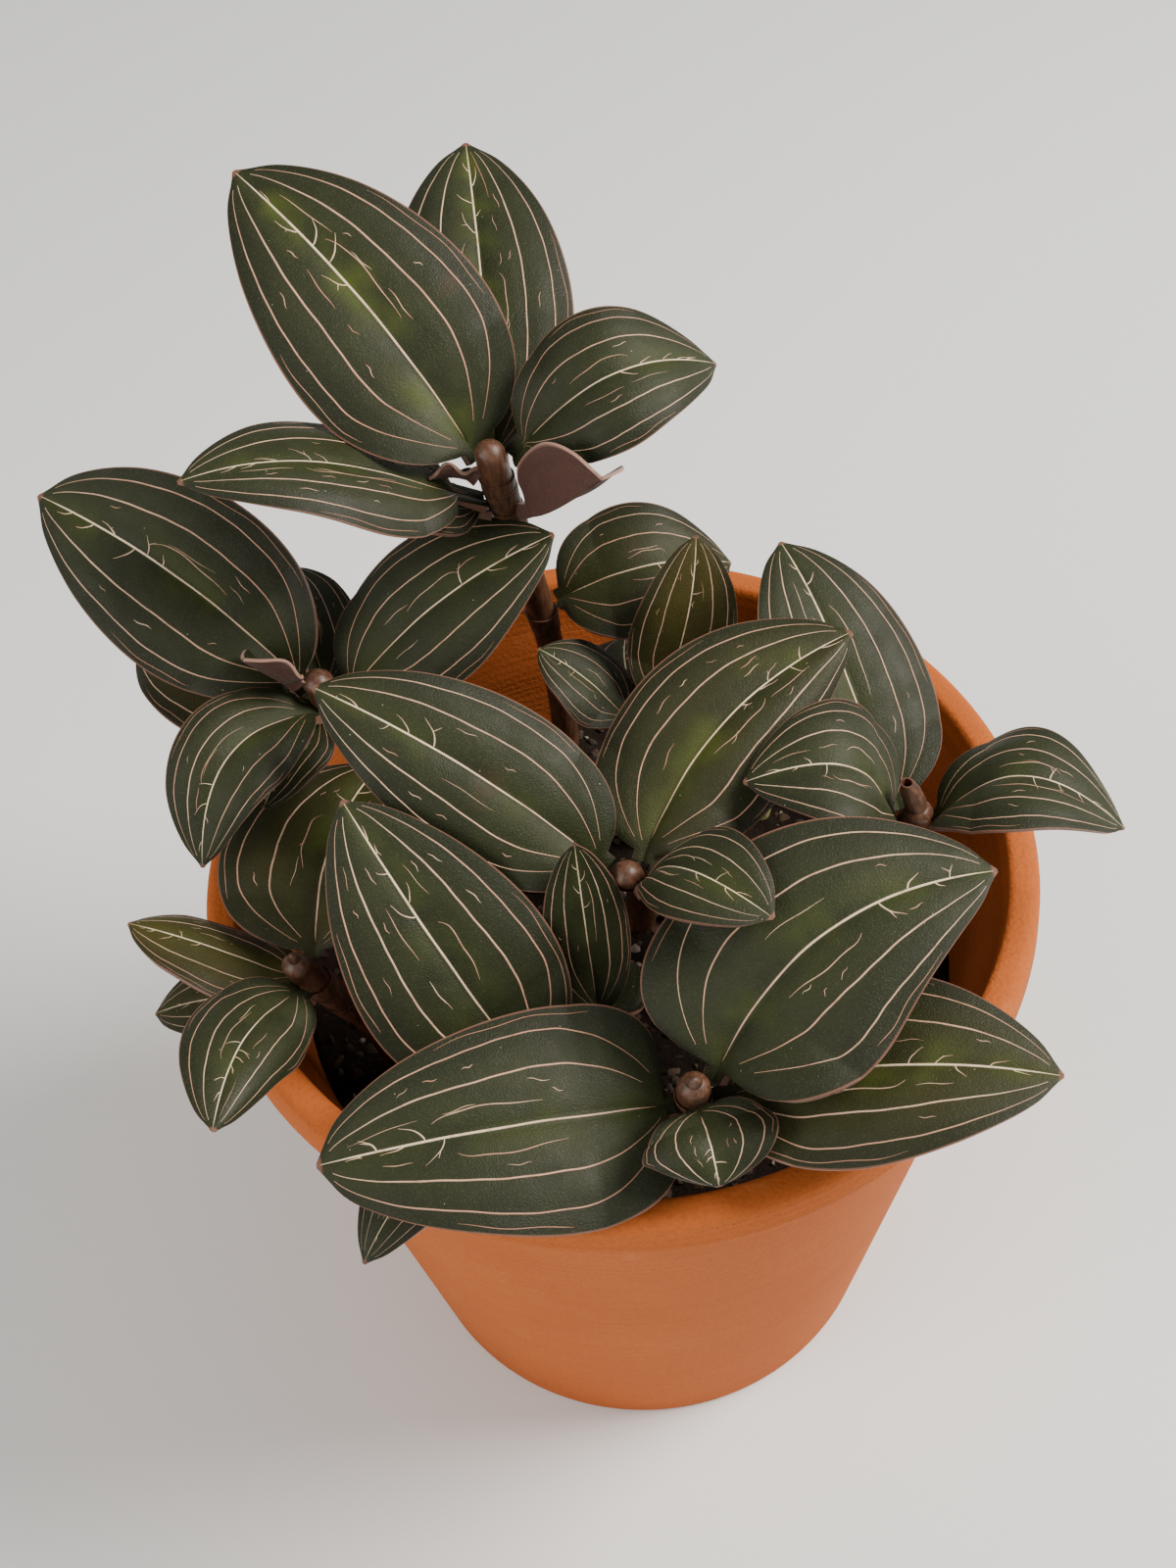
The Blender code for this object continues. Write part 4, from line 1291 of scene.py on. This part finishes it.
class ORCHID_OT_pot(bpy.types.Operator):
    """Build the clay pot with its drain holes"""

    bl_idname = "orchid.pot"
    bl_label = "Pot"

    def execute(self, context):
        settings = context.scene.orchid_pot
        band = POT_HEIGHT - RIM_HEIGHT
        profile = rounded((
            (0.0, 0.0, 0),
            (FOOT_RADIUS, 0.0, 0.0012),
            (outer_radius(band - 0.0006), band - 0.0006, 0.0010),
            (RIM_RADIUS, band + 0.0004, 0.0022),
            (RIM_RADIUS - 0.0004, POT_HEIGHT, 0.0026),
            (MOUTH_RADIUS, POT_HEIGHT, 0.0016),
            (MOUTH_RADIUS - 0.0012, band + 0.001, 0.0040),
            (inner_radius(band - 0.008), band - 0.008, 0.0030),
            (inner_radius(FLOOR_THICKNESS), FLOOR_THICKNESS, 0.0030),
            (0.0, FLOOR_THICKNESS, 0),
        ))
        vertices, faces = turned(profile, POT_STEPS)
        pot = make_object("clay_pot", vertices, faces,
                          [clay_material(settings, False), clay_material(settings, True)])
        # Inner wall faces below the rim take the copy of the clay with painted shade
        for face in pot.data.polygons:
            out = Vector((face.center.x, face.center.y, 0.0))
            if face.normal.dot(out) < 0 and face.center.z < POT_HEIGHT - 0.004:
                face.material_index = 1
        for hole in range(DRAIN_HOLES):
            angle = 2 * math.pi * (hole + 0.5) / DRAIN_HOLES + math.pi / POT_STEPS
            x = DRAIN_CIRCLE * math.cos(angle)
            y = DRAIN_CIRCLE * math.sin(angle)
            bpy.ops.mesh.primitive_cylinder_add(
                vertices=24, radius=DRAIN_RADIUS, depth=FLOOR_THICKNESS * 3, location=(x, y, 0.0))
            cut(pot, context.object)
        place(pot, "terracotta", "pot")
        return {"FINISHED"}


class ORCHID_OT_soil(bpy.types.Operator):
    """Build the soil and scatter grains over it"""

    bl_idname = "orchid.soil"
    bl_label = "Soil"

    def execute(self, context):
        settings = context.scene.orchid_soil
        edge = inner_radius(SOIL_LEVEL) - SOIL_EDGE_GAP
        vertices, faces = soil_disc(edge, POT_STEPS, SOIL_RINGS)
        floor = FLOOR_THICKNESS + CLEARANCE
        start = len(vertices)
        last_ring = start - POT_STEPS
        radius = inner_radius(floor) - SOIL_FOOT_GAP
        for step in range(POT_STEPS):
            angle = 2 * math.pi * step / POT_STEPS
            vertices.append((radius * math.cos(angle), radius * math.sin(angle), floor))
        for step in range(POT_STEPS):
            after = (step + 1) % POT_STEPS
            faces.append((start + step, start + after, last_ring + after, last_ring + step))
        faces.append(tuple(start + step for step in reversed(range(POT_STEPS))))
        soil = make_object("potting_mix", vertices, faces, [soil_material(settings)], 180)
        place(soil, "soil", "soil")

        tree = grain_tree()
        pale = grain_material("pale grains", (0.30, 0.26, 0.21), (0.16, 0.13, 0.10), 0.85)
        dark = grain_material("dark crumbs", (0.030, 0.020, 0.013), (0.075, 0.045, 0.025), 0.9)
        kinds = (
            ("pale_grains", pale, settings.pale_density, settings.pale_grain, 11),
            ("dark_crumbs", dark, settings.dark_density, settings.dark_grain, 23),
        )
        for name, material, density, size, seed in kinds:
            vertices, faces = soil_disc(edge - 0.002, 90, 24)
            grains = make_object(name, vertices, faces, [], 180)
            run_tree(grains, tree, {
                "Density": density,
                "Smallest": size * 0.35,
                "Largest": size,
                "Seed": seed,
                "Material": material,
            })
            place(grains, "soil")
        return {"FINISHED"}


class ORCHID_OT_stems(bpy.types.Operator):
    """Build the stems with their sleeves, buds, rolled young leaf and new shoot"""

    bl_idname = "orchid.stems"
    bl_label = "Stems"

    def execute(self, context):
        settings = context.scene.orchid_stems
        flesh = stem_material("stem", settings.colour, settings.second_colour)
        # Sleeves, buds and the rolled leaf share a darker colour: partly their own dark red-brown, partly
        # painted shade where they sit among the leaf bases
        sheath = stem_material("sleeve", settings.sleeve_and_shade_colour, settings.second_colour, 0.55)
        for letter, stem in STEMS.items():
            stalk = make_object("stalk_" + letter, *stem_shape(letter, stem), [flesh])
            place(stalk, "stem", "stem_" + letter)
            sleeves = [sleeve_shape(stem, below + SLEEVE_GAP, settings.sleeve_length)
                       for below in sorted(leaf_levels(letter)) if below > SLEEVE_LEAST_DEPTH]
            if sleeves:
                item = make_object("sleeves_" + letter, *join_parts(sleeves), [sheath])
                place(item, "stem")

        buds = []
        for letter, lean, length, radius in BUDS:
            base = Vector(STEMS[letter].crown) + Vector((0, 0, BUD_SEAT))
            buds.append(bud_shape(base, Vector(lean).normalized(), length, radius))
        bud_item = make_object("buds", *join_parts(buds), [sheath])
        place(bud_item, "stem")

        base = Vector(STEMS["H"].crown) + Vector((0, 0, ROLLED_LEAF_SEAT))
        lean = Vector(ROLLED_LEAF_LEAN).normalized()
        vertices, faces = funnel_shape(base, lean, ROLLED_LEAF_LENGTH, ROLLED_LEAF_RADIUS)
        funnel = make_object("rolled_leaf", vertices, faces, [sheath])
        place(funnel, "young_leaf")

        pale = stem_material("new shoot", settings.shoot_colour, (0.62, 0.60, 0.34), 0.4)
        neck = Vector((*NEW_SHOOT_PLACE, SOIL_LEVEL - STEM_DEPTH))
        top = Vector(NEW_SHOOT_TOP)
        shares = np.linspace(0.0, 1.0, 16)
        centres = [neck.lerp(top, share) for share in shares]
        radii = [NEW_SHOOT_RADIUS * (1 - 0.75 * max(0.0, share - 0.3) ** 1.5) for share in shares]
        radii[-1] = 0.0003
        shoot = make_object("shoot", *tube(centres, radii, 16), [pale])
        place(shoot, "new_shoot", "new_shoot")
        return {"FINISHED"}


class ORCHID_OT_leaves(bpy.types.Operator):
    """Build every leaf blade with its upper face and underside"""

    bl_idname = "orchid.leaves"
    bl_label = "Leaves"

    def execute(self, context):
        settings = context.scene.orchid_leaves
        upper = blade_material(settings)
        under = underside_material("leaf underside", settings.under_colour, (0.07, 0.05, 0.03),
                                   settings.margin_colour)
        young = underside_material("young leaf", settings.young_colour, (0.066, 0.027, 0.020),
                                   (0.34, 0.19, 0.145))
        for name, design in LEAVES.items():
            grown = name not in YOUNG_LEAVES
            item = make_leaf(name, design, [upper, under if grown else young])
            place(item, "leaf" if grown else "young_leaf", "leaf_" + name)
        return {"FINISHED"}


class ORCHID_OT_veins(bpy.types.Operator):
    """Lay the veins over the upper faces of the leaves"""

    bl_idname = "orchid.veins"
    bl_label = "Veins"

    def execute(self, context):
        settings = context.scene.orchid_veins
        material = vein_material(settings)
        tree = vein_tree()
        for letter in STEMS:
            lines = VeinLines()
            for name, design in LEAVES.items():
                if name[0] != letter or name in YOUNG_LEAVES:
                    continue
                draw = random.Random("veins of " + name)
                scale = min(1.15, max(0.5, design["width"] / 0.032))
                lines.start_leaf(name, design)
                add_long_veins(lines, draw, scale)
                add_broken_veins(lines, draw, scale)
                add_branches(lines, draw, scale)
            if not lines.points:
                continue
            item = lines.make_object("veins_" + letter)
            run_tree(item, tree, {"Flatness": settings.flatness, "Material": material})
            place(item, "leaf")
        return {"FINISHED"}


class ORCHID_OT_stage(bpy.types.Operator):
    """Set up the camera, the soft studio light and the plain floor"""

    bl_idname = "orchid.stage"
    bl_label = "Stage"

    def execute(self, context):
        settings = context.scene.orchid_stage
        material, tree, shader = new_shader("floor")
        tint = mix(tree, cloud(tree, place_of(tree), 0.4, 2), settings.floor_colour, (0.90, 0.93, 0.935))
        tree.links.new(tint, shader.inputs["Base Color"])
        set_inputs(shader, Roughness=0.9, Specular_IOR_Level=0.2)
        half = FLOOR_HALF_SIDE
        corners = [(-half, -half, 0), (half, -half, 0), (half, half, 0), (-half, half, 0)]
        floor = make_object("floor", corners, [(0, 1, 2, 3)], [material])

        camera_data = bpy.data.cameras.new("camera")
        camera_data.lens = settings.lens
        camera_data.sensor_width = CAMERA_SENSOR
        camera_data.clip_start = CAMERA_NEAR
        camera = bpy.data.objects.new("camera", camera_data)
        context.scene.collection.objects.link(camera)
        forward = Vector(CAMERA_FORWARD).normalized()
        up = Vector(CAMERA_UP)
        up = (up - forward * up.dot(forward)).normalized()
        right = forward.cross(up)
        turn = Matrix((right, up, -forward)).transposed()
        camera.matrix_world = Matrix.Translation(CAMERA_PLACE) @ turn.to_4x4()
        context.scene.camera = camera

        lights = (
            ("key_light", KEY_LIGHT_PLACE, KEY_LIGHT_SIZE, settings.key_power),
            ("fill_light", FILL_LIGHT_PLACE, FILL_LIGHT_SIZE, settings.fill_power),
        )
        for name, spot, size, power in lights:
            light = bpy.data.lights.new(name, "AREA")
            light.shape = "DISK"
            light.size = size
            light.energy = power
            light.color = settings.light_colour
            item = bpy.data.objects.new(name, light)
            item.location = spot
            aim = Vector(LIGHT_AIM) - Vector(spot)
            item.rotation_euler = aim.to_track_quat("-Z", "Y").to_euler()
            context.scene.collection.objects.link(item)

        world = bpy.data.worlds.new("studio")
        world.use_nodes = True
        background = world.node_tree.nodes["Background"]
        background.inputs["Color"].default_value = STUDIO_COLOUR
        background.inputs["Strength"].default_value = STUDIO_STRENGTH
        context.scene.world = world
        return {"FINISHED"}


class ORCHID_PT_panel(bpy.types.Panel):
    """Lists the pieces of the orchid and their settings"""

    bl_idname = "ORCHID_PT_panel"
    bl_label = "Jewel Orchid"
    bl_space_type = "VIEW_3D"
    bl_region_type = "UI"
    bl_category = "Orchid"

    def draw(self, context):
        for group, operator in GROUPS:
            box = self.layout.box()
            box.operator(operator.bl_idname)
            settings = getattr(context.scene, group)
            for name in settings.__annotations__:
                box.prop(settings, name)


SETTINGS = {
    "orchid_pot": OrchidPot,
    "orchid_soil": OrchidSoil,
    "orchid_stems": OrchidStems,
    "orchid_leaves": OrchidLeaves,
    "orchid_veins": OrchidVeins,
    "orchid_stage": OrchidStage,
}
GROUPS = (
    ("orchid_pot", ORCHID_OT_pot),
    ("orchid_soil", ORCHID_OT_soil),
    ("orchid_stems", ORCHID_OT_stems),
    ("orchid_leaves", ORCHID_OT_leaves),
    ("orchid_veins", ORCHID_OT_veins),
    ("orchid_stage", ORCHID_OT_stage),
)


def register():
    """Register the settings, the operators and the panel."""
    for name, settings in SETTINGS.items():
        bpy.utils.register_class(settings)
        setattr(bpy.types.Scene, name, bpy.props.PointerProperty(type=settings))
    for group, operator in GROUPS:
        bpy.utils.register_class(operator)
    bpy.utils.register_class(ORCHID_PT_panel)


def unregister():
    """Take back what register did."""
    bpy.utils.unregister_class(ORCHID_PT_panel)
    for group, operator in GROUPS:
        bpy.utils.unregister_class(operator)
    for name, settings in SETTINGS.items():
        delattr(bpy.types.Scene, name)
        bpy.utils.unregister_class(settings)


def main():
    """Build every piece and the stage."""
    register()
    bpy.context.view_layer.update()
    bpy.ops.orchid.pot()
    bpy.ops.orchid.soil()
    bpy.ops.orchid.stems()
    bpy.ops.orchid.leaves()
    bpy.ops.orchid.veins()
    bpy.ops.orchid.stage()


if __name__ == "__main__":
    main()
